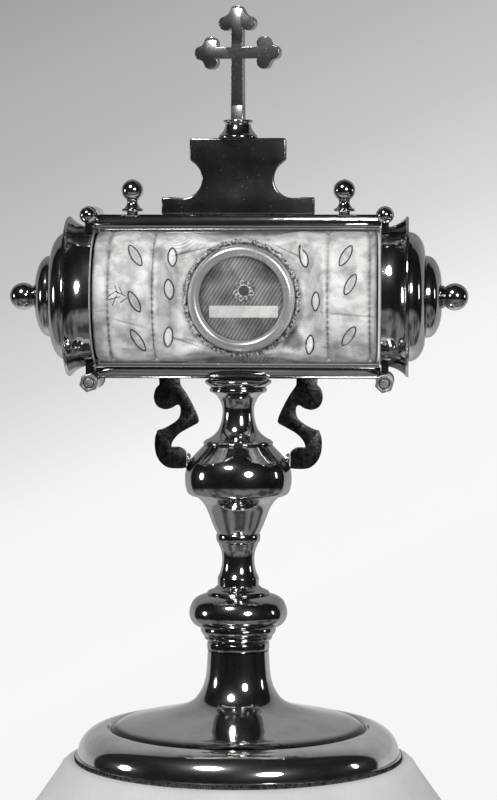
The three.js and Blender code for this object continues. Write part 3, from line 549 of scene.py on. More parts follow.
ivorySilk = finishSilk("ivorySilk", {
    "dark": (0.45, 0.447, 0.437), "pale": (0.82, 0.816, 0.80), "patchScale": 150.0, "slubScale": 1500.0,
    "ribAngle": 62, "ribScale": 0.38, "ribWander": 0.35, "ribTone": (0.12, 0.6), "ribBump": 0.4,
    "stainScale": 52.0, "stain": 0.7, "wrinkle": 0.6, "bump": 0.45, "bumpDepth": 0.00015, "rough": 0.42,
    "sheen": 0.25,
    # seams: painted shade in the seam grooves; the two wide ones darken the ends
    "seams": [(-53.2, 0.5, 0.9), (-34.6, 0.62, 0.6), (38.6, 0.4, 0.7), (56.2, 0.45, 0.8), (-60.0, 0.3, 7.0),
              (59.0, 0.45, 4.0)],
    # painted shadows on the front of the roll, the largest at the lower right of the round case
    "paintedShades": [(23.4, -17.5, 4.6, 4.8, 0.65), (-58.6, -10.0, 6.0, 14.0, 0.3), (43.0, -21.7, 5.0, 6.0, 0.3),
               (-13.0, -24.5, 11.0, 3.2, 0.4), (-32.0, 19.6, 4.0, 4.0, 0.3), (48.0, 13.0, 3.5, 8.0, 0.2)],
    # painted shade along the darts round the case and along the creases
    "foldShades": [((-27.5, 17.3), (-12.0, 21.2), 0.8, 0.65), ((27.0, 17.0), (16.5, 21.8), 0.8, 0.6),
              ((-27.0, -16.8), (-13.0, -21.8), 0.7, 0.55), ((25.0, -12.5), (19.5, -21.0), 1.6, 0.6),
              ((58.0, -7.5), (36.0, -5.6), 0.4, 0.3), ((-50.0, -8.6), (-35.6, -13.2), 0.4, 0.25),
              ((-48.0, -21.5), (-38.0, -22.3), 0.6, 0.3), ((36.0, -20.5), (46.0, -21.4), 0.5, 0.25)]})
greySilk = finishSilk("greySilk", {
    "dark": (0.127, 0.127, 0.125), "pale": (0.286, 0.284, 0.282), "patchScale": 120.0, "slubScale": 2400.0,
    "ribAngle": 32, "ribScale": 0.225, "ribWander": 0.5, "ribTone": (0.85, 0.95), "ribBump": 1.0,
    "stainScale": 60.0, "stain": 0.4, "wrinkle": 0.1, "bump": 0.8, "bumpDepth": 0.0002, "rough": 0.5,
    "sheen": 0.3, "seams": [], "foldShades": [],
    # on the disc: a painted highlight at the upper left, painted shadows at the upper right and upper left
    "paintedShades": [(-3.5, 14.3, 8.5, 3.4, -0.9), (15.5, 11.5, 5.0, 6.5, 0.45), (-9.5, 11.0, 4.5, 5.0, 0.25)]})
print("finishes ready")


# outlines, in millimetres: a curve through points, and arcs

def through(points, perSpan=6):
    outline = []
    last = len(points) - 1
    for place in range(last):
        before = points[max(place - 1, 0)]
        start, end = points[place], points[place + 1]
        after = points[min(place + 2, last)]
        for step in range(perSpan):
            t = step / perSpan
            outline.append(tuple(
                (2 * p1 - 2 * p2 + (p2 - p0) / 2 + (p3 - p1) / 2) * t ** 3
                + (-3 * p1 + 3 * p2 - (p2 - p0) - (p3 - p1) / 2) * t ** 2 + (p2 - p0) / 2 * t + p1
                for p0, p1, p2, p3 in zip(before, start, end, after)))
    outline.append(tuple(points[-1]))
    return outline


def arc(centre, reach, start, end, steps):
    angles = [math.radians(start + (end - start) * step / steps) for step in range(steps + 1)]
    return [(centre[0] + reach[0] * math.cos(a), centre[1] + reach[1] * math.sin(a)) for a in angles]


# modelling helpers

def selectNone():
    if bpy.context.mode != "OBJECT":
        bpy.ops.object.mode_set(mode="OBJECT")
    bpy.ops.object.select_all(action="DESELECT")


def makeActive(piece):
    selectNone()
    piece.select_set(True)
    bpy.context.view_layer.objects.active = piece


def newest(name):
    piece = bpy.context.object
    piece.name = name
    piece.data.name = name
    return piece


def applyPlace():
    bpy.ops.object.transform_apply(location=True, rotation=True, scale=True)


def settle(piece, turn=(0, 0, 0), x=0, y=0, z=0):
    piece.rotation_euler = turn
    piece.location = (x * mm, y * mm, z * mm)
    makeActive(piece)
    applyPlace()
    return piece


def mergeAll(reach=1e-6):
    bpy.ops.mesh.select_all(action="SELECT")
    bpy.ops.mesh.remove_doubles(threshold=reach)
    bpy.ops.mesh.select_all(action="SELECT")


def faceOutwards():
    bpy.ops.mesh.select_all(action="SELECT")
    bpy.ops.mesh.normals_make_consistent(inside=False)
    bpy.ops.object.mode_set(mode="OBJECT")


def selectWhere(piece, isChosen):
    vertices = piece.data.vertices
    for vertex in vertices:
        vertex.select = isChosen(vertex)
    for line in piece.data.edges:
        line.select = all(vertices[end].select for end in line.vertices)
    for face in piece.data.polygons:
        face.select = False


def drawOutline(name, places):
    selectNone()
    bpy.ops.mesh.primitive_plane_add(size=0.002, location=places[0])
    piece = newest(name)
    applyPlace()
    bpy.ops.object.mode_set(mode="EDIT")
    bpy.ops.mesh.select_mode(type="VERT")
    bpy.ops.mesh.select_all(action="SELECT")
    bpy.ops.mesh.merge(type="CENTER")
    for before, after in zip(places, places[1:]):
        step = Vector(after) - Vector(before)
        bpy.ops.mesh.extrude_region_move(TRANSFORM_OT_translate={"value": tuple(step)})
    return piece


def softenEdges(piece, width, angle=32, segments=2):
    makeActive(piece)
    bevel = piece.modifiers.new("softEdges", "BEVEL")
    bevel.width = width * mm
    bevel.segments = segments
    bevel.limit_method = "ANGLE"
    bevel.angle_limit = math.radians(angle)
    bpy.ops.object.modifier_apply(modifier=bevel.name)


def dress(piece, material, slot, *nodes, body="root", angle=35):
    if angle:
        makeActive(piece)
        bpy.ops.object.shade_smooth_by_angle(angle=math.radians(angle))
    piece.data.materials.clear()
    piece.data.materials.append(material)
    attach(piece, body)
    if nodes:
        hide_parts(*nodes)
    return piece


# a turned piece: its outline is drawn beside the Z axis and spun, and the piece is laid along its own axis
# outlines run up the outside; a bore closes them on themselves, and without one they end on the axis

upright, alongX, alongY = (0, 0, 0), (0, math.pi / 2, 0), (math.pi / 2, 0, 0)


def spinRing(name, outline, steps, edge=0):
    piece = drawOutline(name, [(r * mm, 0, z * mm) for r, z in outline])
    mergeAll()
    bpy.ops.mesh.spin(steps=steps, angle=2 * math.pi, center=(0, 0, 0), axis=(0, 0, 1))
    mergeAll()
    faceOutwards()
    if edge:
        softenEdges(piece, edge)
    return piece


def closedTurn(name, outline, steps, edge=0):
    return spinRing(name, [*outline, outline[0]], steps, edge)


def turnPiece(name, outline, steps, bore=0, edge=0.12, turn=upright):
    path = [(bore, outline[0][1]), *outline, (bore, outline[-1][1])]
    return settle(spinRing(name, path + path[:1] if bore else path, steps, edge), turn)


def copyPiece(piece, name):
    twin = piece.copy()
    twin.data = piece.data.copy()
    twin.name = name
    twin.data.name = name
    bpy.context.scene.collection.objects.link(twin)
    return twin


def halfTurned(piece, name):
    return settle(copyPiece(piece, name), (0, 0, math.pi))


def joinSolids(piece, others, operation="UNION"):
    for other in others:
        makeActive(piece)
        change = piece.modifiers.new("change", "BOOLEAN")
        change.operation = operation
        change.solver = "EXACT"
        change.object = other
        bpy.ops.object.modifier_apply(modifier=change.name)
        bpy.data.objects.remove(other)
    return piece


def cylinderAlongY(x, z, radius, fromY, toY):
    selectNone()
    bpy.ops.mesh.primitive_cylinder_add(
        vertices=48, radius=radius * mm, depth=abs(toY - fromY) * mm,
        location=(x * mm, (fromY + toY) / 2 * mm, z * mm), rotation=alongY)
    applyPlace()
    return bpy.context.object


def boxBetween(xs, ys, zs):
    selectNone()
    sides = [sorted(side) for side in (xs, ys, zs)]
    bpy.ops.mesh.primitive_cube_add(size=1, location=[(a + b) / 2 * mm for a, b in sides])
    bpy.context.object.scale = [(b - a) * mm for a, b in sides]
    applyPlace()
    return bpy.context.object


# a flat plate standing across Y: its outline is drawn, filled and given its thickness

def cutPlate(name, outline, thickness, edge, segments=2):
    piece = drawOutline(name, [(x * mm, -thickness / 2 * mm, z * mm) for x, z in outline])
    bpy.ops.mesh.select_all(action="SELECT")
    bpy.ops.object.mode_set(mode="OBJECT")
    ends = {0, len(piece.data.vertices) - 1}
    selectWhere(piece, lambda vertex: vertex.index in ends)
    bpy.ops.object.mode_set(mode="EDIT")
    bpy.ops.mesh.select_mode(type="VERT")
    bpy.ops.mesh.edge_face_add()
    bpy.ops.mesh.select_all(action="SELECT")
    bpy.ops.mesh.edge_face_add()
    bpy.ops.mesh.select_all(action="SELECT")
    bpy.ops.mesh.extrude_region_move(TRANSFORM_OT_translate={"value": (0, thickness * mm, 0)})
    faceOutwards()
    softenEdges(piece, edge, angle=50, segments=segments)
    return piece


# foot: a thin spun shell with a rolled rim, a stepped trumpet and a milled edge

foot = {
    "flange": 70.3,
    "flangeInner": 62.0,
    "flangeHeight": 2.1,
    "rimCentre": (56.6, 2.3),
    "rimReach": (12.4, 11.5),
    "wall": 1.6,
    "top": 47.0,
    "ceiling": 45.2,
    "bore": 2.8,
    "step": [(56.15, 13.75), (55.8, 13.2), (55.5, 12.7), (55.0, 12.6)],
    "trumpet": [(54.6, 12.8), (54.3, 13.2), (53.4, 13.9), (52.0, 14.8), (50.6, 15.55), (49.0, 16.1),
                (46.5, 16.7), (42, 17.7), (36, 19), (28, 21.1), (22.5, 23), (18.9, 25.3), (16.4, 28.6),
                (14.7, 32.4), (13.7, 37.3), (13.1, 46.6)],
    "inside": [(11.7, 39.5), (13, 32), (15.4, 26.2), (19.5, 22.2), (27, 19.1), (38, 16.4), (53.6, 11.6)],
    "steps": 300,
    "teeth": 400,
    "toothDepth": 0.4,
    "band": 69.4,
    "bandHeight": 1.9,
}


def buildFoot(s):
    innerReach = [side - s["wall"] for side in s["rimReach"]]
    lip = s["bandHeight"] + 0.05
    outline = [(s["flangeInner"], 0), (s["band"], 0), (s["band"], lip), (s["flange"] - 0.3, lip),
               (s["flange"] - 0.4, s["flangeHeight"] + 0.05), *arc(s["rimCentre"], s["rimReach"], 0, 88, 22),
               *s["step"], *through(s["trumpet"], 8), (s["bore"], s["top"]), (s["bore"], s["ceiling"]),
               *through([(11.2, s["ceiling"]), *s["inside"]], 4), *arc(s["rimCentre"], innerReach, 80, 0, 8),
               (s["flangeInner"], 2.2)]
    dress(closedTurn("footShell", outline, s["steps"]), footMetal, "silvered_metal", "foot", angle=28)


def buildEdge(s):
    low, high, inner, outer = 0, s["bandHeight"], s["band"], s["flange"]
    outline = [(inner, low), (outer - 0.1, low), (outer, low + 0.1), (outer, high - 0.1), (outer - 0.1, high),
               (inner, high)]
    piece = closedTurn("footEdge", outline, 2 * s["teeth"])

    def isGroove(vertex):
        x, y, z = vertex.co
        turn = round(math.atan2(y, x) / math.pi * s["teeth"])
        return math.hypot(x, y) > (outer - 0.2) * mm and turn % 2 == 1

    selectWhere(piece, isGroove)
    makeActive(piece)
    bpy.ops.object.mode_set(mode="EDIT")
    bpy.ops.mesh.select_mode(type="VERT")
    inward = 1 - s["toothDepth"] / outer
    bpy.ops.transform.resize(value=(inward, inward, 1), center_override=(0, 0, 0))
    bpy.ops.object.mode_set(mode="OBJECT")
    dress(piece, edgeMetal, "silvered_metal", angle=None)


buildFoot(foot)
buildEdge(foot)
print("foot ready")


# turned stem pieces, from the foot upwards

stem = {
    "neckCollar": ("neck_collar", [
        (13.1, 47), (13.3, 47.4), (13.35, 48.7), (13.3, 50.1), (12.9, 50.5), (13.5, 51), (14.3, 51.7),
        (14.6, 52.4), (14.2, 52.9), (15.1, 53.4), (15.8, 54.5), (16.2, 55.7), (16, 56.8)]),
    "lowerKnop": ("lower_knop", through([
        (16.4, 56.8), (18.6, 57.8), (20.1, 59.5), (20.9, 61.6), (20.95, 63.6), (20.5, 65.6), (19.5, 67.7),
        (18, 69.2), (15.9, 70.3), (13.9, 70.8)])),
    "lowerSpool": ("lower_spool", [
        (13.2, 70.8), (13.4, 71.4), (12.9, 72.2), *through([(11.8, 72.7), (10.5, 73.2), (9.4, 74.1)]),
        (8.8, 74.7), (8.85, 77.9), (8.6, 78.3), *through([
            (8.55, 78.5), (7.75, 80.3), (7.1, 83), (6.9, 86.3), (7.3, 89.4), (8.1, 91.5), (8.6, 92.8)]),
        (9.2, 93.5), (9.45, 94.8), (9.45, 96.2), (9.1, 96.9)]),
    "cup": ("cup", through([
        (9.1, 96.9), (10.5, 99.8), (12.4, 104.6), (13.8, 108), (15.4, 110.4), (17.5, 112.4), (18.6, 113.2)])),
    "upperKnop": ("upper_knop", [
        (20, 113.2), *through([
            (20.6, 113.5), (21.7, 114.5), (22.5, 116.9), (22.8, 119.6), (22.7, 122.6), (22.1, 125.4),
            (20.9, 127.9), (18.8, 130.4), (16.5, 132.8), (14.6, 134.8)], 8)]),
    "upperSpool": ("upper_spool", [
        (14.4, 134.8), (14.95, 135.2), (14.9, 136), (13.8, 137), *through([
            (12.9, 137.4), (10.6, 138.9), (8.9, 140.7), (7.7, 143.2), (6.9, 146.7), (6.7, 149.4), (7.1, 152),
            (8.3, 154.6), (9.6, 156.2), (11.9, 157.5)]),
        (12.3, 157.9), (12.2, 158.9), (11.6, 159.3), (12.3, 159.8), (13.9, 161), (14.3, 161.7), (14.1, 162.4),
        (12, 163.2)]),
}
for name, (node, outline) in stem.items():
    dress(turnPiece(name, outline, 112, bore=foot["bore"]), silvered, "silvered_metal", node)
print("stem ready")


# rails: half-round bars along the tube, with a knuckle at each end; the upper knuckles are slotted

rail = {
    "inner": 29.95,
    "height": 4.85,
    "halfWidth": 4.5,
    "landHalf": 2.3,
    "halfLength": 60.6,
    "hingeX": 62.3,
    "lowerPivot": 36.0,
    "upperPivot": 34.65,
    "knuckle": 3.7,
    "knuckleHalf": 5.0,
    "hole": 2.3,
    "mouth": 4.6,
    "cut": 9,
}


def railBar(name, s, up):
    landAngle = math.degrees(math.acos(s["landHalf"] / s["halfWidth"]))
    crown = s["height"] / math.sin(math.radians(landAngle))
    right = arc((0, 0), (s["halfWidth"], crown), 0, landAngle, 7)
    section = [*right, *[(-y, z) for y, z in reversed(right)], right[0]]
    piece = drawOutline(name, [(-s["halfLength"] * mm, y * mm, (axisHeight + up * (s["inner"] + z)) * mm)
                               for y, z in section])
    mergeAll()
    bpy.ops.mesh.edge_face_add()
    bpy.ops.mesh.extrude_region_move(TRANSFORM_OT_translate={"value": (2 * s["halfLength"] * mm, 0, 0)})
    faceOutwards()
    return piece


def buildRail(name, node, s, up):
    height = axisHeight + up * (s["upperPivot"] if up > 0 else s["lowerPivot"])
    sides = (s["hingeX"], -s["hingeX"])
    piece = railBar(name, s, up)
    half, cut, gap = s["knuckleHalf"], s["cut"], s["mouth"] / 2
    joinSolids(piece, [cylinderAlongY(x, height, s["knuckle"], -half, half) for x in sides])
    holes = [cylinderAlongY(x, height, s["hole"], -cut, cut) for x in sides]
    if up > 0:
        holes += [boxBetween((x, x + math.copysign(5, x)), (-cut, cut), (height - gap, height + gap))
                  for x in sides]
    joinSolids(piece, holes, "DIFFERENCE")
    softenEdges(piece, 0.2, angle=40)
    dress(piece, turnedSide, "silvered_metal", node, angle=40)


buildRail("upperRail", "upper_rail", rail, 1)
buildRail("lowerRail", "lower_rail", rail, -1)
print("rails ready")


# scroll brackets and the bosses that join them to the knop

bracket = {
    "thickness": 2.8,
    "curves": [
        [(-24.8, 163.2)], [(-33.8, 163.2)],
        [(-33.6, 160.6), (-35.2, 158.7), (-36, 155.9), (-35.7, 153.2), (-34.4, 151.1), (-32.4, 150.1),
         (-30.5, 149.9), (-28.1, 150.6), (-26.5, 151.6)],
        [(-25.5, 151.9), (-24.7, 150.8), (-24.6, 149), (-25.1, 146.7), (-26.7, 144.8), (-29.5, 142.9),
         (-32.4, 141.5), (-34.5, 141)],
        [(-35.5, 138), (-35.7, 134.8), (-35.3, 131.4), (-34.4, 129), (-33, 127), (-31, 125.4), (-28.8, 124.7),
         (-25, 124.6), (-22.2, 124.9)],
        [(-22.2, 131.3)], [(-22.5, 132), (-23.4, 132.9), (-25.4, 133.8), (-28.4, 133.7)],
        [(-28.7, 134.1), (-28.1, 136), (-26.5, 138.2), (-24.3, 140.1), (-20.8, 142.1), (-17.4, 143.9)],
        [(-16.8, 144.8), (-17.2, 146.7), (-18.6, 150), (-20.5, 153.8), (-22.4, 157.05), (-24.3, 159.7),
         (-24.8, 161.0)],
    ],
    "bossHeight": 128.6,
    "bossOutline": [(2.3, 20.4), (2.3, 20.9), (2.6, 21.0), (2.7, 21.15), (2.7, 21.55), (2.5, 21.75),
                    (2.2, 21.9)],
}


def buildBrackets(s):
    outline = [point for curve in s["curves"] for point in (through(curve, 3) if len(curve) > 1 else curve)]
    left = cutPlate("leftBracket", outline, s["thickness"], edge=0.25)
    right = halfTurned(left, "rightBracket")
    dress(left, wornMetal, "worn_metal", "left_bracket", angle=40)
    dress(right, wornMetal, "worn_metal", "right_bracket", angle=40)
    rightBoss = settle(turnPiece("rightBoss", s["bossOutline"], 48, turn=alongX), z=s["bossHeight"])
    leftBoss = halfTurned(rightBoss, "leftBoss")
    dress(rightBoss, turnedSide, "silvered_metal", "right_boss")
    dress(leftBoss, turnedSide, "silvered_metal", "left_boss")


buildBrackets(bracket)
print("brackets ready")


# crown: knobs, pediment, socket and cross

knob = {
    "x": 45.0,
    "foot": 232.8,
    "outline": [(2.4, 0), (2.4, 1.2), (4.2, 1.35), (4.6, 1.6), (4.6, 1.95), (4.3, 2.4),
                *through([(3.4, 2.8), (2.45, 4.3), (2.3, 5.4), (2.6, 6.3)], 5),
                *arc((0, 10.2), (4.65, 4.6), -52, 76, 20), (0.55, 14.8), (0.25, 14.95)],
}
pediment = {
    "thickness": 4.4,
    "half": [(32.5, 232.8), (32.5, 239.4), (32.3, 239.9), (31.8, 240.1), (28, 240.1), (25.6, 239.9),
             *arc((23.3, 247.8), (8, 8), -84, -236, 26), (20.0, 255.5), (20.4, 256.0), (20.5, 256.7),
             (20.5, 263.9), (20.15, 264.75), (19.3, 265.1)],
}
crossSocket = {
    "bore": 2.1,
    "outline": [(8.3, 265.1), (8.3, 265.9), (8.0, 266.3), *through([(7.4, 266.8), (6, 268.8), (5.3, 271)], 6),
                (6.1, 271.6), (6.35, 272.1), (6.2, 272.6), (5.8, 272.8)],
}
cross = {
    "centre": 300.9,
    "thickness": 4.4,
    "twist": -13,
    "barHalf": 2.45,
    "shaftHalf": 2.65,
    "bottom": 272.8,
    "side": {"reach": 11.7, "spread": 3.8, "end": 14.9, "endBud": 3.7},
    "top": {"reach": 12.4, "spread": 4.9, "end": 16.3, "endBud": 3.6},
    "bud": 3.1,
    "dip": 0.95,
    "tang": 1.8,
    "tangLength": 7,
}


def buildPediment(s):
    outline = [*s["half"], *[(-x, z) for x, z in reversed(s["half"])]]
    piece = cutPlate("pedimentPlate", outline, s["thickness"], edge=0.75, segments=4)
    dress(piece, plateMetal, "silvered_metal", "pediment", angle=30)


def budArc(centre, start, end, steps):
    first = math.atan2(start[1] - centre[1], start[0] - centre[0])
    last = math.atan2(end[1] - centre[1], end[0] - centre[0])
    sweep = last - first if last > first else last - first + 2 * math.pi
    radius = math.hypot(start[0] - centre[0], start[1] - centre[1])
    return [(centre[0] + radius * math.cos(first + sweep * k / steps),
             centre[1] + radius * math.sin(first + sweep * k / steps)) for k in range(steps + 1)]


def betweenBuds(first, second, leave, meet, dip):
    span = math.hypot(second[0] - first[0], second[1] - first[1])
    out = ((second[1] - first[1]) / span, (first[0] - second[0]) / span)
    middle = ((first[0] + second[0]) / 2, (first[1] + second[1]) / 2)
    return [(x + out[0] * reach, y + out[1] * reach)
            for (x, y), reach in ((first, leave), (middle, (leave + meet) / 2 - dip), (second, meet))]


def armOutline(s, arm):
    low, end, high = (arm["reach"], -arm["spread"]), (arm["end"], 0), (arm["reach"], arm["spread"])
    inset = math.sqrt(s["bud"] ** 2 - (arm["spread"] - s["barHalf"]) ** 2)
    leaveLow, lowDip, meetEnd = betweenBuds(low, end, s["bud"], arm["endBud"], s["dip"])
    leaveEnd, highDip, meetHigh = betweenBuds(end, high, arm["endBud"], s["bud"], s["dip"])
    return [*budArc(low, (arm["reach"] - inset, -s["barHalf"]), leaveLow, 16),
            *through([leaveLow, lowDip, meetEnd], 3)[1:-1], *budArc(end, meetEnd, leaveEnd, 12),
            *through([leaveEnd, highDip, meetHigh], 3)[1:-1],
            *budArc(high, meetHigh, (arm["reach"] - inset, s["barHalf"]), 16)]


def buildCross(s):
    side = armOutline(s, s["side"])
    top = [(-v, u) for u, v in armOutline(s, s["top"])]
    bar, shaft, low = s["barHalf"], s["shaftHalf"], s["bottom"] - s["centre"]
    outline = [(shaft, low), (bar, -bar), *side, (bar, bar), *top, (-bar, bar), *[(-u, -v) for u, v in side],
               (-bar, -bar), (-shaft, low)]
    piece = cutPlate("crossPlate", outline, s["thickness"], edge=0.7, segments=4)
    selectNone()
    bpy.ops.mesh.primitive_cylinder_add(vertices=32, radius=s["tang"] * mm, depth=s["tangLength"] * mm,
                                        location=(0, 0, (low - 1.5) * mm))
    applyPlace()
    joinSolids(piece, [bpy.context.object])
    settle(piece, (0, 0, math.radians(s["twist"])), z=s["centre"])
    dress(piece, crossMetal, "silvered_metal", "cross", angle=30)


for name, node, x in (("leftKnob", "left_knob", -knob["x"]), ("rightKnob", "right_knob", knob["x"])):
    piece = settle(turnPiece(name, knob["outline"], 64, edge=0.08), x=x, z=knob["foot"])
    dress(piece, silvered, "silvered_metal", node)
buildPediment(pediment)
socketPiece = turnPiece("crossSocket", crossSocket["outline"], 64, bore=crossSocket["bore"])
dress(socketPiece, silvered, "silvered_metal", "cross_socket")
buildCross(cross)
print("crown ready")


# end caps: collar with hinge lugs, dome and finial, made for the right end and turned round for the left

collar = {
    "mouth": 60.9,
    "bore": 28.2,
    "outline": [*through([(29.3, 60.9), (29.4, 62), (29.7, 64.3), (30.4, 66.6), (31.6, 68.8), (33, 70.4),
                          (33.8, 71.1)], 4), (34.1, 71.5), (34.15, 71.9), (33.9, 72.35), (33.5, 72.4),
                (26.4, 72.4), (26.4, 71.3), (31.4, 71.3), *through([
                    (31.1, 71.0), (30.4, 69.4), (29.4, 67.3), (28.7, 64.9), (28.3, 62.4), (28.2, 60.9)], 3)],
    "lug": (5.3, 12.5),
    "web": 3.0,
    "webStart": 27.0,
}
dome = {
    "edge": 0.1,
    "outline": [(26.5, 72.4), *arc((17.6, 72.4), (9.9, 7.0), 0, 80, 20), (17.9, 79.35), (17.5, 79.6),
                (17.35, 80.0), *arc((5, 80.4), (12.3, 6.0), 2, 90, 20), (1.7, 86.4), (1.7, 85.4),
                *arc((5, 80.2), (11.3, 5.2), 86, 4, 8), (16.4, 79), *arc((17.6, 72.4), (8.9, 6.0), 78, 0, 8)],
}
finial = {"ball": 5.8, "centre": 91.8, "neck": 4.2,
          "foot": [(1.4, 81), (1.4, 86.4), (4.7, 86.4), (4.9, 86.8), (4.7, 87.3), (4.3, 87.7)]}


def buildCollar(s, r):
    piece = settle(closedTurn("rightCollar", s["outline"], 128), alongX, z=axisHeight)
    mouth, pivots = s["mouth"], ((1, axisHeight + r["upperPivot"]), (-1, axisHeight - r["lowerPivot"]))
    parts = []
    for up, pivot in pivots:
        start = axisHeight + up * s["webStart"]
        for side in (1, -1):
            inner, outer = [side * reach for reach in s["lug"]]
            parts.append(boxBetween((mouth, mouth + s["web"]), (inner, outer), (start, pivot)))
            parts.append(cylinderAlongY(r["hingeX"], pivot, r["knuckle"], inner, outer))
    joinSolids(piece, parts)
    bore = turnPiece("boreCutter", [(s["bore"], mouth - 1), (s["bore"], mouth + 3.2)], 128,
                     edge=0, turn=alongX)
    holes = [settle(bore, z=axisHeight)]
    holes += [cylinderAlongY(r["hingeX"], pivot, r["hole"], -14, 14) for up, pivot in pivots]
    joinSolids(piece, holes, "DIFFERENCE")
    softenEdges(piece, 0.15, angle=45)
    return piece


def buildFinial(s):
    start = 180 - math.degrees(math.asin(s["neck"] / s["ball"]))
    ball = [(y, s["centre"] + x) for x, y in arc((0, 0), (s["ball"], s["ball"]), start, 1, 26)]
    return settle(turnPiece("rightFinial", [*s["foot"], *ball], 80, edge=0.1, turn=alongX), z=axisHeight)


def buildCaps():
    pieces = {
        "Collar": buildCollar(collar, rail),
        "Dome": settle(closedTurn("rightDome", dome["outline"], 112, dome["edge"]), alongX, z=axisHeight),
        "Finial": buildFinial(finial),
    }
    for part, piece in pieces.items():
        twin = halfTurned(piece, "left" + part)
        dress(piece, turnedSide, "silvered_metal", "right_" + part.lower(), body="right_cap")
        dress(twin, turnedSide, "silvered_metal", "left_" + part.lower(), body="left_cap")


buildCaps()
print("caps ready")


# hinge pins with ball heads above, bolts with nuts below; their outlines run towards the front

pin = {"ball": 3.5, "ballY": 16.6, "neck": 2.6, "shank": 2.0, "shoulder": 12.8, "tail": 13.4}
bolt = {"shank": 2.0, "tip": 15.7, "head": 4.0, "headFrom": 12.8, "headHeight": 2.4}
nut = {"width": 7.2, "height": 3.2, "seat": -12.8, "hole": 2.35, "turn": 14}


def buildNut(name, s, x, height):
    selectNone()
    middle = s["seat"] - s["height"] / 2
    bpy.ops.mesh.primitive_cylinder_add(
        vertices=6, radius=s["width"] / math.sqrt(3) * mm, depth=s["height"] * mm,
        location=(x * mm, middle * mm, height * mm), rotation=(math.pi / 2, math.radians(s["turn"]), 0))
    piece = newest(name)
    applyPlace()
    joinSolids(piece, [cylinderAlongY(x, height, s["hole"], middle - 4, middle + 4)], "DIFFERENCE")
    softenEdges(piece, 0.35, angle=40, segments=3)
    return piece


def buildPins(p, b, r):
    back = 180 - math.degrees(math.asin(p["neck"] / p["ball"]))
    ball = [(y, p["ballY"] + x) for x, y in arc((0, 0), (p["ball"], p["ball"]), back, 4, 18)]
    pinOutline = [(1.2, -p["tail"]), (p["shank"], 0.8 - p["tail"]), (p["shank"], p["shoulder"]),
                  (p["neck"], p["shoulder"]), *ball]
    headEnd = -b["headFrom"] - b["headHeight"]
    boltOutline = [(b["head"] - 1, headEnd), (b["head"], 0.8 + headEnd), (b["head"], -b["headFrom"]),
                   (b["shank"], -b["headFrom"]), (b["shank"], b["tip"] - 0.3), (1.7, b["tip"])]
    high, low = axisHeight + r["upperPivot"], axisHeight - r["lowerPivot"]
    for side, x in (("left", -r["hingeX"]), ("right", r["hingeX"])):
        piece = settle(turnPiece(side + "Pin", pinOutline, 56, edge=0.08, turn=alongY), x=x, z=high)
        dress(piece, silvered, "silvered_metal", side + "_pin", body=side + "_pin")
        piece = settle(turnPiece(side + "HingeBolt", boltOutline, 48, edge=0.1, turn=alongY), x=x, z=low)
        dress(piece, nutMetal, "worn_metal", side + "_hinge_bolt")
        dress(buildNut(side + "HingeNut", nut, x, low), nutMetal, "worn_metal", side + "_hinge_nut")


buildPins(pin, bolt, rail)
print("pins and bolts ready")


# glass tube

tube = {"outer": 29.8, "inner": 28.5, "half": 60.0}


def buildTube(s):
    inner, outer, half = s["inner"], s["outer"], s["half"]
    outline = [(inner, -half), (outer, -half), (outer, half), (inner, half)]
    piece = settle(closedTurn("glassTube", outline, 160, 0.25), alongX, z=axisHeight)
    dress(piece, tubeGlass, "tube_glass", "glass_tube")


buildTube(tube)
print("glass tube ready")


# silk roll: a grid wrapped round, pinched at its seams, sunk for the round case, with folds
# darts and creases are lines on its front, as (x, height from the tube's middle), then (depth, half width)

roll = {
    "radius": 27.9,
    "left": -59.6,
    "right": 59.2,
    "endRound": 1.2,
    "around": 360,
    "along": 236,
    "seams": (-53.2, -34.6, 38.6, 56.2),
    "seamDepth": 1.5,
    "seamHalf": 0.75,
    "puff": 0.6,
    "uneven": 0.2,
    "grain": 0.07,
    "sink": 0.15,
    "caseX": 2.2,
    "caseZ": -0.3,
    "pocketDepth": 12.3,
    "pocketRadius": 25.6,
    "pocketReach": 26.6,
    "pocketBlend": 36.0,
    "folds": (0.85, 31, 6.5),
    "dart": (1.3, 0.65),
    "darts": [((-29.5, 16.5), (-12.0, 21.2)), ((16.0, 21.6), (27.5, 17.0)), ((-27.0, -16.8), (-13.0, -21.5)),
              ((24.5, -13.5), (16.0, -21.5))],
    "crease": (0.6, 0.45),
    "creases": [((31, -5.8), (56, -8.0)), ((44, 9.5), (52, 9.2)), ((42, -21.0), (55, -20.0)),
                ((-50, -9.5), (-36, -13.0)), ((-58, -6.0), (-51, -5.0)), ((-50, -19.5), (-37, -21.5)),
                ((38, 16.0), (33, -3.0)), ((20, -22.5), (37, -17.5))],
}


def smoothStep(value, low, high):
    t = np.clip((value - low) / (high - low), 0, 1)
    return t * t * (3 - 2 * t)


def lineGroove(x, z, line, width):
    (x0, z0), (x1, z1) = line
    dx, dz = x1 - x0, z1 - z0
    t = np.clip(((x - x0) * dx + (z - z0) * dz) / (dx * dx + dz * dz), 0, 1)
    away = np.hypot(x - x0 - t * dx, z - z0 - t * dz)
    ends = np.sin(np.pi * np.clip(t, 0.02, 0.98)) ** 0.4
    return np.exp(-(away / width) ** 2) * ends


def softNoise(x, angle, seed, waves, size):
    dice = np.random.default_rng(seed)
    total = np.zeros_like(x)
    for _ in range(waves):
        along, round_ = dice.normal(0, 1 / size), dice.integers(-7, 8)
        total += np.sin(along * x + round_ * angle + dice.uniform(0, 2 * math.pi))
    return total / math.sqrt(waves)


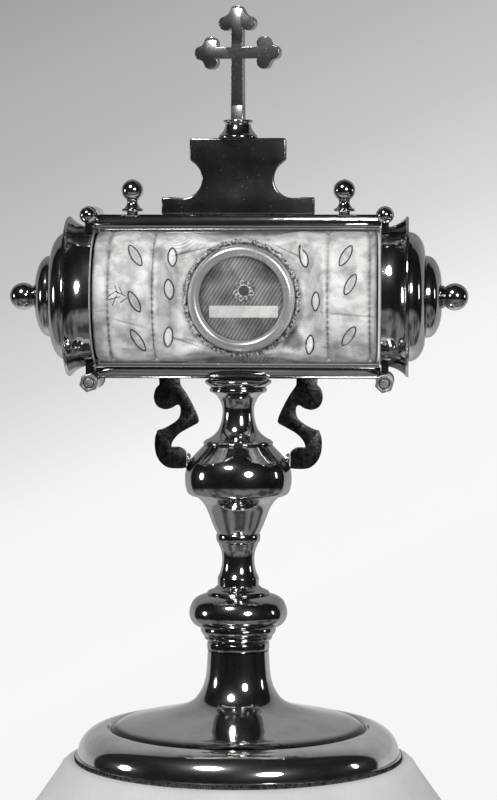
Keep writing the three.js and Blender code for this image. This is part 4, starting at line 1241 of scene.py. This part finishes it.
def wrappedRadius(s, x, angle):
    full = np.full_like(x, s["radius"])
    ends = np.minimum(x - s["left"], s["right"] - x)
    full -= np.clip(s["endRound"] - ends, 0, None) ** 2 / (2 * s["endRound"])
    edges = np.array([s["left"], *s["seams"], s["right"]])
    place = np.clip(np.searchsorted(edges, x) - 1, 0, len(edges) - 2)
    middle = (edges[place] + edges[place + 1]) / 2
    half = (edges[place + 1] - edges[place]) / 2
    full -= s["puff"] * ((x - middle) / half) ** 4
    for seam in s["seams"]:
        stitch = 1 + 0.4 * np.sin(angle * 60 + seam)
        full -= s["seamDepth"] * stitch * np.exp(-((x - seam) / s["seamHalf"]) ** 2)
    full += s["uneven"] * softNoise(x, angle, 3, 14, 6.0) + s["grain"] * softNoise(x, angle * 3, 8, 16, 2.2)
    return full - s["sink"]


def rollRadius(s, x, angle):
    full = wrappedRadius(s, x, angle)
    front = np.cos(angle)
    depth = s["pocketDepth"] - 1.4 * np.sin(angle) ** 2
    pocket = np.minimum(full, np.minimum(s["pocketRadius"], depth / np.maximum(front, 0.01)))
    away = np.hypot(x - s["caseX"], pocket * np.sin(angle) - s["caseZ"])
    sunk = np.where(front > 0, smoothStep(s["pocketBlend"] - away, 0, s["pocketBlend"] - s["pocketReach"]), 0)
    radius = full + (pocket - full) * sunk
    flat = radius * np.sin(angle)
    isFront = smoothStep(front, 0.0, 0.3)
    round_ = np.arctan2(flat - s["caseZ"], x - s["caseX"])
    rise, reach, width = s["folds"]
    folds = np.sin(round_ * 9 + 0.6 * np.sin(round_ * 2)) * 0.5 + np.sin(round_ * 17 + 1.3) * 0.25
    radius += rise * folds * np.exp(-((away - reach) / width) ** 2) * isFront
    for lines, (deep, half) in ((s["darts"], s["dart"]), (s["creases"], s["crease"])):
        for line in lines:
            radius -= deep * lineGroove(x, flat, line, half) * isFront
    return np.minimum(radius, s["radius"] + 0.2)


def closeEnd(piece, end):
    makeActive(piece)
    selectWhere(piece, lambda vertex: abs(vertex.co.x - end * mm) < 1e-6)
    bpy.ops.object.mode_set(mode="EDIT")
    bpy.ops.mesh.select_mode(type="EDGE")
    for share in (0.8, 0.72, 0.68):
        bpy.ops.mesh.extrude_region_move()
        bpy.ops.transform.resize(value=(1, share, share), center_override=(end * mm, 0, axisHeight * mm))
    bpy.ops.object.mode_set(mode="OBJECT")


def buildRoll(s):
    selectNone()
    bpy.ops.mesh.primitive_grid_add(x_subdivisions=s["along"], y_subdivisions=s["around"], size=1)
    piece = newest("silkRoll")
    length = s["right"] - s["left"]
    flat = np.zeros(len(piece.data.vertices) * 3)
    piece.data.vertices.foreach_get("co", flat)
    flat = flat.reshape(-1, 3)
    x = s["left"] + (flat[:, 0] + 0.5) * length
    angle = math.pi + (flat[:, 1] + 0.5) * 2 * math.pi
    radius = rollRadius(s, x, np.arctan2(np.sin(angle), np.cos(angle)))
    places = np.column_stack([x, -radius * np.cos(angle), axisHeight + radius * np.sin(angle)]) * mm
    piece.data.vertices.foreach_set("co", places.astype(np.float32).ravel())
    for loop in piece.data.uv_layers.active.data:
        loop.uv = (loop.uv[0] * length, loop.uv[1] * 2 * math.pi * s["radius"])
    piece.data.update()
    makeActive(piece)
    bpy.ops.object.mode_set(mode="EDIT")
    mergeAll(2e-6)
    bpy.ops.object.mode_set(mode="OBJECT")
    for end in (s["left"], s["right"]):
        closeEnd(piece, end)
    bpy.ops.object.mode_set(mode="EDIT")
    bpy.ops.mesh.select_all(action="DESELECT")
    bpy.ops.mesh.select_non_manifold(extend=False)
    bpy.ops.mesh.bridge_edge_loops()
    faceOutwards()
    bpy.ops.object.shade_smooth()
    dress(piece, ivorySilk, "ivory_silk", "silk_roll", angle=None)


buildRoll(roll)
print("silk roll ready")


# round case in the roll: ribbed silk disc, glass, ring, strip of paper, flower and braid

case = {
    "x": 2.2,
    "z": 197.7,
    "disc": 17.6,
    "discFront": 13.9,
    "pane": 18.7,
    "paneBack": 15.0,
    "paneFront": 15.7,
    "ring": 20.1,
    "ringTube": 2.45,
    "ringDepth": 15.7,
    "ringBack": 13.6,
    "seat": 18.9,
}


def buildDisc(s):
    rim, face = s["disc"], s["discFront"]
    outline = [(rim - 0.1, face - 0.4), (rim, face - 0.3), (rim, face), (rim * 0.66, face + 0.02),
               (rim * 0.33, face + 0.03)]
    piece = settle(turnPiece("caseDisc", outline, 96, edge=0, turn=alongY), x=s["x"], z=s["z"])
    layer = piece.data.uv_layers[0].data
    for corner in piece.data.loops:
        place = piece.data.vertices[corner.vertex_index].co
        layer[corner.index].uv = (place.x / mm, place.z / mm)
    dress(piece, greySilk, "grey_silk", "theca_disc")


def buildPane(s):
    rim, back, front = s["pane"], s["paneBack"], s["paneFront"]
    outline = [(rim, back), (rim, front - 0.1), (rim - 0.15, front), (17.6, front + 0.02),
               *through([(14, 15.95), (9, 16.15), (4, 16.25), (0.5, 16.27)], 3)]
    piece = settle(turnPiece("casePane", outline, 96, edge=0, turn=alongY), x=s["x"], z=s["z"])
    dress(piece, caseGlass, "case_glass", "theca_glass")


def buildRing(s):
    seat = s["paneBack"] + 0.8
    bore = s["ring"] - s["ringTube"]
    front = arc((s["ring"], s["ringDepth"]), (s["ringTube"], s["ringTube"]), -20, 168, 24)
    outline = [(s["ring"] + 1.9, s["ringBack"]), *front, (bore + 0.1, seat + 0.5), (bore, seat + 0.2),
               (bore, seat), (s["seat"], seat), (s["seat"], s["ringBack"])]
    piece = settle(closedTurn("caseRing", outline, 128, 0.08), alongY)
    dress(settle(piece, x=s["x"], z=s["z"]), satinMetal, "silvered_metal", "theca_ring", angle=40)


buildDisc(case)
buildPane(case)
buildRing(case)
print("round case ready")

label = {"width": 29.0, "height": 5.0, "thickness": 0.15, "x": 0.9, "z": -5.6, "front": 14.0, "ragged": 0.05,
         "curl": 0.08}


def buildLabel(s):
    selectNone()
    bpy.ops.mesh.primitive_grid_add(x_subdivisions=58, y_subdivisions=10, size=1)
    piece = newest("labelStrip")
    dice = random.Random(5)
    for vertex in piece.data.vertices:
        u, v, _ = vertex.co
        rough = s["ragged"] * (dice.random() - 0.5)
        x = u * s["width"] + (rough if abs(u) > 0.49 else 0)
        z = v * s["height"] + (rough if abs(v) > 0.49 else 0)
        lift = s["curl"] * (2 * abs(u)) ** 6 + 0.02 * math.sin(u * 9)
        vertex.co = ((case["x"] + s["x"] + x) * mm, -(s["front"] + lift) * mm, (case["z"] + s["z"] + z) * mm)
    piece.data.update()
    makeActive(piece)
    solid = piece.modifiers.new("paper", "SOLIDIFY")
    solid.thickness = s["thickness"] * mm
    solid.offset = 0
    bpy.ops.object.modifier_apply(modifier=solid.name)
    bpy.ops.object.mode_set(mode="EDIT")
    faceOutwards()
    dress(piece, paperStrip, "paper", "theca_label", angle=None)


buildLabel(label)


# threads: each line of points becomes a thin round thread, closed or open

def makeThread(name, lines, radius, material, slot, *nodes, sides=1, closed=True):
    curve = bpy.data.curves.new(name, "CURVE")
    curve.dimensions = "3D"
    curve.bevel_depth = radius * mm
    curve.bevel_resolution = sides
    curve.use_fill_caps = True
    for places in lines:
        spline = curve.splines.new("POLY")
        spline.points.add(len(places) - 1)
        for point, place in zip(spline.points, places):
            point.co = (*[value * mm for value in place], 1)
        spline.use_cyclic_u = closed
    holder = bpy.data.objects.new(name, curve)
    bpy.context.scene.collection.objects.link(holder)
    makeActive(holder)
    bpy.ops.object.convert(target="MESH")
    piece = bpy.context.object
    piece.name = name
    makeActive(piece)
    bpy.ops.object.shade_smooth()
    dress(piece, material, slot, *nodes, angle=None)


flower = {
    "x": 1.0, "z": 3.2, "front": 14.1, "loops": 12, "reach": 3.35, "loop": 0.85, "thread": 0.2, "centre": 2.5}


def flowerLoop(s, count):
    around = 2 * math.pi * count / s["loops"] + 0.2
    places = []
    for step in range(20):
        turn = 2 * math.pi * step / 20
        u = s["reach"] + s["loop"] * 1.25 * math.cos(turn)
        v = s["loop"] * 0.85 * math.sin(turn)
        x = case["x"] + s["x"] + u * math.cos(around) - v * math.sin(around)
        z = case["z"] + s["z"] + u * math.sin(around) + v * math.cos(around)
        places.append((x, -(s["front"] + 0.22 + 0.1 * math.cos(turn * 2 + count)), z))
    return places


def buildFlower(s):
    loops = [flowerLoop(s, count) for count in range(s["loops"])]
    makeThread("flowerLoops", loops, s["thread"], metalThread, "metal_thread", "theca_flower", sides=2)
    face, rim = s["front"], s["centre"]
    outline = [(rim, face - 0.1), (rim - 0.1, face + 0.15),
               *arc((0, face + 0.1), (rim - 0.2, 0.35), 10, 85, 8)]
    button = turnPiece("flowerCentre", outline, 40, edge=0, turn=alongY)
    dress(settle(button, x=case["x"] + s["x"], z=case["z"] + s["z"]), darkCloth, "grey_silk", angle=50)


buildFlower(flower)
print("paper strip and flower ready")

braid = {"radius": 23.9, "coil": 0.95, "thread": 0.26, "turns": 170, "steps": 9, "side": 13.8, "top": 12.2}


def buildBraid(s):
    dice = random.Random(11)
    strands = []
    for strand, hand in ((0, 1), (1, -1)):
        places = []
        for step in range(s["turns"] * s["steps"]):
            share = step / (s["turns"] * s["steps"])
            turn = hand * 2 * math.pi * step / s["steps"] + strand
            size = s["coil"] * (0.9 + 0.25 * math.sin(share * 97 + strand * 2) + 0.12 * dice.uniform(-1, 1))
            around = 2 * math.pi * share
            reach = s["radius"] + size * math.cos(turn) + 0.25 * math.sin(share * 151)
            depth = s["top"] + (s["side"] - s["top"]) * math.cos(around) ** 2 + size * math.sin(turn)
            places.append((case["x"] + reach * math.cos(around), -depth,
                           case["z"] + reach * math.sin(around)))
        strands.append(places)
    makeThread("braidCoil", strands, s["thread"], metalThread, "metal_thread", "braid_trim", sides=0)


buildBraid(braid)
print("braid ready")


# embroidery on the roll: places are (x, height) on its front, from the tube's middle
# leaves are (x, height, lean, length), sprig stitches are (start, end)

embroidery = {
    "width": 3.5,
    "outlined": [(-41.9, 17.7, 35, 10.0), (-41.7, -1.3, 28, 9.6), (-40.9, -17.7, 30, 10.6),
                 (46.1, 17.7, -30, 9.4), (48.1, 6.0, -28, 9.4), (47.5, -15.6, -34, 9.6)],
    "padded": [(-28.0, 3.5, 6, 8.6), (-28.4, -16.4, -4, 8.6), (-26.8, 16.9, 0, 7.8), (28.4, 16.4, 14, 7.6),
               (33.6, -1.3, -4, 8.0), (31.0, -19.6, -6, 8.2)],
    "padLength": 0.88,
    "padHalf": 1.25,
    "padRise": 0.85,
    "sprig": [((-53, 0.8), (-49.5, 3.0)), ((-52.5, -0.5), (-47.5, 0.8)), ((-51, -3), (-49, 1.5)),
              ((-49.5, 3.0), (-45.5, 1.2)), ((-48, 4.6), (-46.5, 1.6)), ((-50, 5.4), (-48.6, 2.0)),
              ((-47.5, -1.6), (-44.6, 0.4))],
}


def onRoll(x, height, lift):
    angle = math.asin(height / roll["radius"])
    for _ in range(10):
        radius = float(rollRadius(roll, np.array([x], float), np.array([angle]))[0])
        angle = (angle + math.asin(max(-1, min(1, height / radius)))) / 2
    reach = radius + lift
    return (x, -reach * math.cos(angle), axisHeight + reach * math.sin(angle))


def onLeaf(leaf, along, across, lift):
    x, height, lean, _ = leaf
    tilt = math.radians(lean)
    return onRoll(x + across * math.cos(tilt) - along * math.sin(tilt),
                  height + across * math.sin(tilt) + along * math.cos(tilt), lift)


def leafRing(leaf, width, lift, steps=40):
    places = []
    for step in range(steps):
        turn = 2 * math.pi * step / steps
        across = width / 2 * math.sin(turn) * abs(math.sin(turn)) ** 0.35
        places.append(onLeaf(leaf, leaf[3] / 2 * math.cos(turn), across, lift))
    return places


def buildPad(s, name, leaf):
    selectNone()
    bpy.ops.mesh.primitive_uv_sphere_add(segments=28, ring_count=14, radius=1)
    piece = newest(name)
    for vertex in piece.data.vertices:
        u, v, w = vertex.co
        across = u * s["padHalf"] * (1 - abs(v) ** 2.2) ** 0.3 if abs(v) < 0.999 else 0
        lift = 0.05 + max(w, -0.3) * s["padRise"] * (1 - v * v)
        vertex.co = Vector(onLeaf(leaf, v * leaf[3] * s["padLength"] / 2, across, lift)) * mm
    piece.data.update()
    makeActive(piece)
    bpy.ops.object.mode_set(mode="EDIT")
    mergeAll()
    faceOutwards()
    bpy.ops.object.shade_smooth()
    dress(piece, padThread, "metal_thread", angle=None)


def buildEmbroidery(s):
    rings = [leafRing(leaf, s["width"], 0.12) for leaf in s["outlined"]]
    makeThread("leafOutlines", rings, 0.26, greyThread, "grey_silk")
    rings = [leafRing((x + 0.42, height + 0.1, lean, length - 0.9), 2.7, 0.1)
             for x, height, lean, length in s["outlined"]]
    makeThread("leafInlines", rings, 0.16, brightThread, "metal_thread")
    rings = [leafRing(leaf, s["width"], 0.12) for leaf in s["padded"]]
    makeThread("leafRims", rings, 0.3, greyThread, "grey_silk")
    for count, leaf in enumerate(s["padded"]):
        buildPad(s, f"leafPad{count + 1}", leaf)
    stitches = [[onRoll(x0 + (x1 - x0) * t / 8, z0 + (z1 - z0) * t / 8, 0.12 + 0.08 * (t % 2))
                 for t in range(9)] for (x0, z0), (x1, z1) in s["sprig"]]
    makeThread("sprigStitches", stitches, 0.14, greyThread, "grey_silk", closed=False)


buildEmbroidery(embroidery)
print("embroidery ready")


# CAD nodes that stay: their finishes

def paintNodes(names, material):
    for name in names:
        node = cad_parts[name]
        node.data.materials.clear()
        node.data.materials.append(material)


paintNodes(["tie_rod", "rod_washer", "rod_nut", "left_finial_nut", "right_finial_nut", "theca_case"],
           wornMetal)
paintNodes(["left_gasket", "right_gasket"], feltRing)
paintNodes(["roll_core"], coreWood)
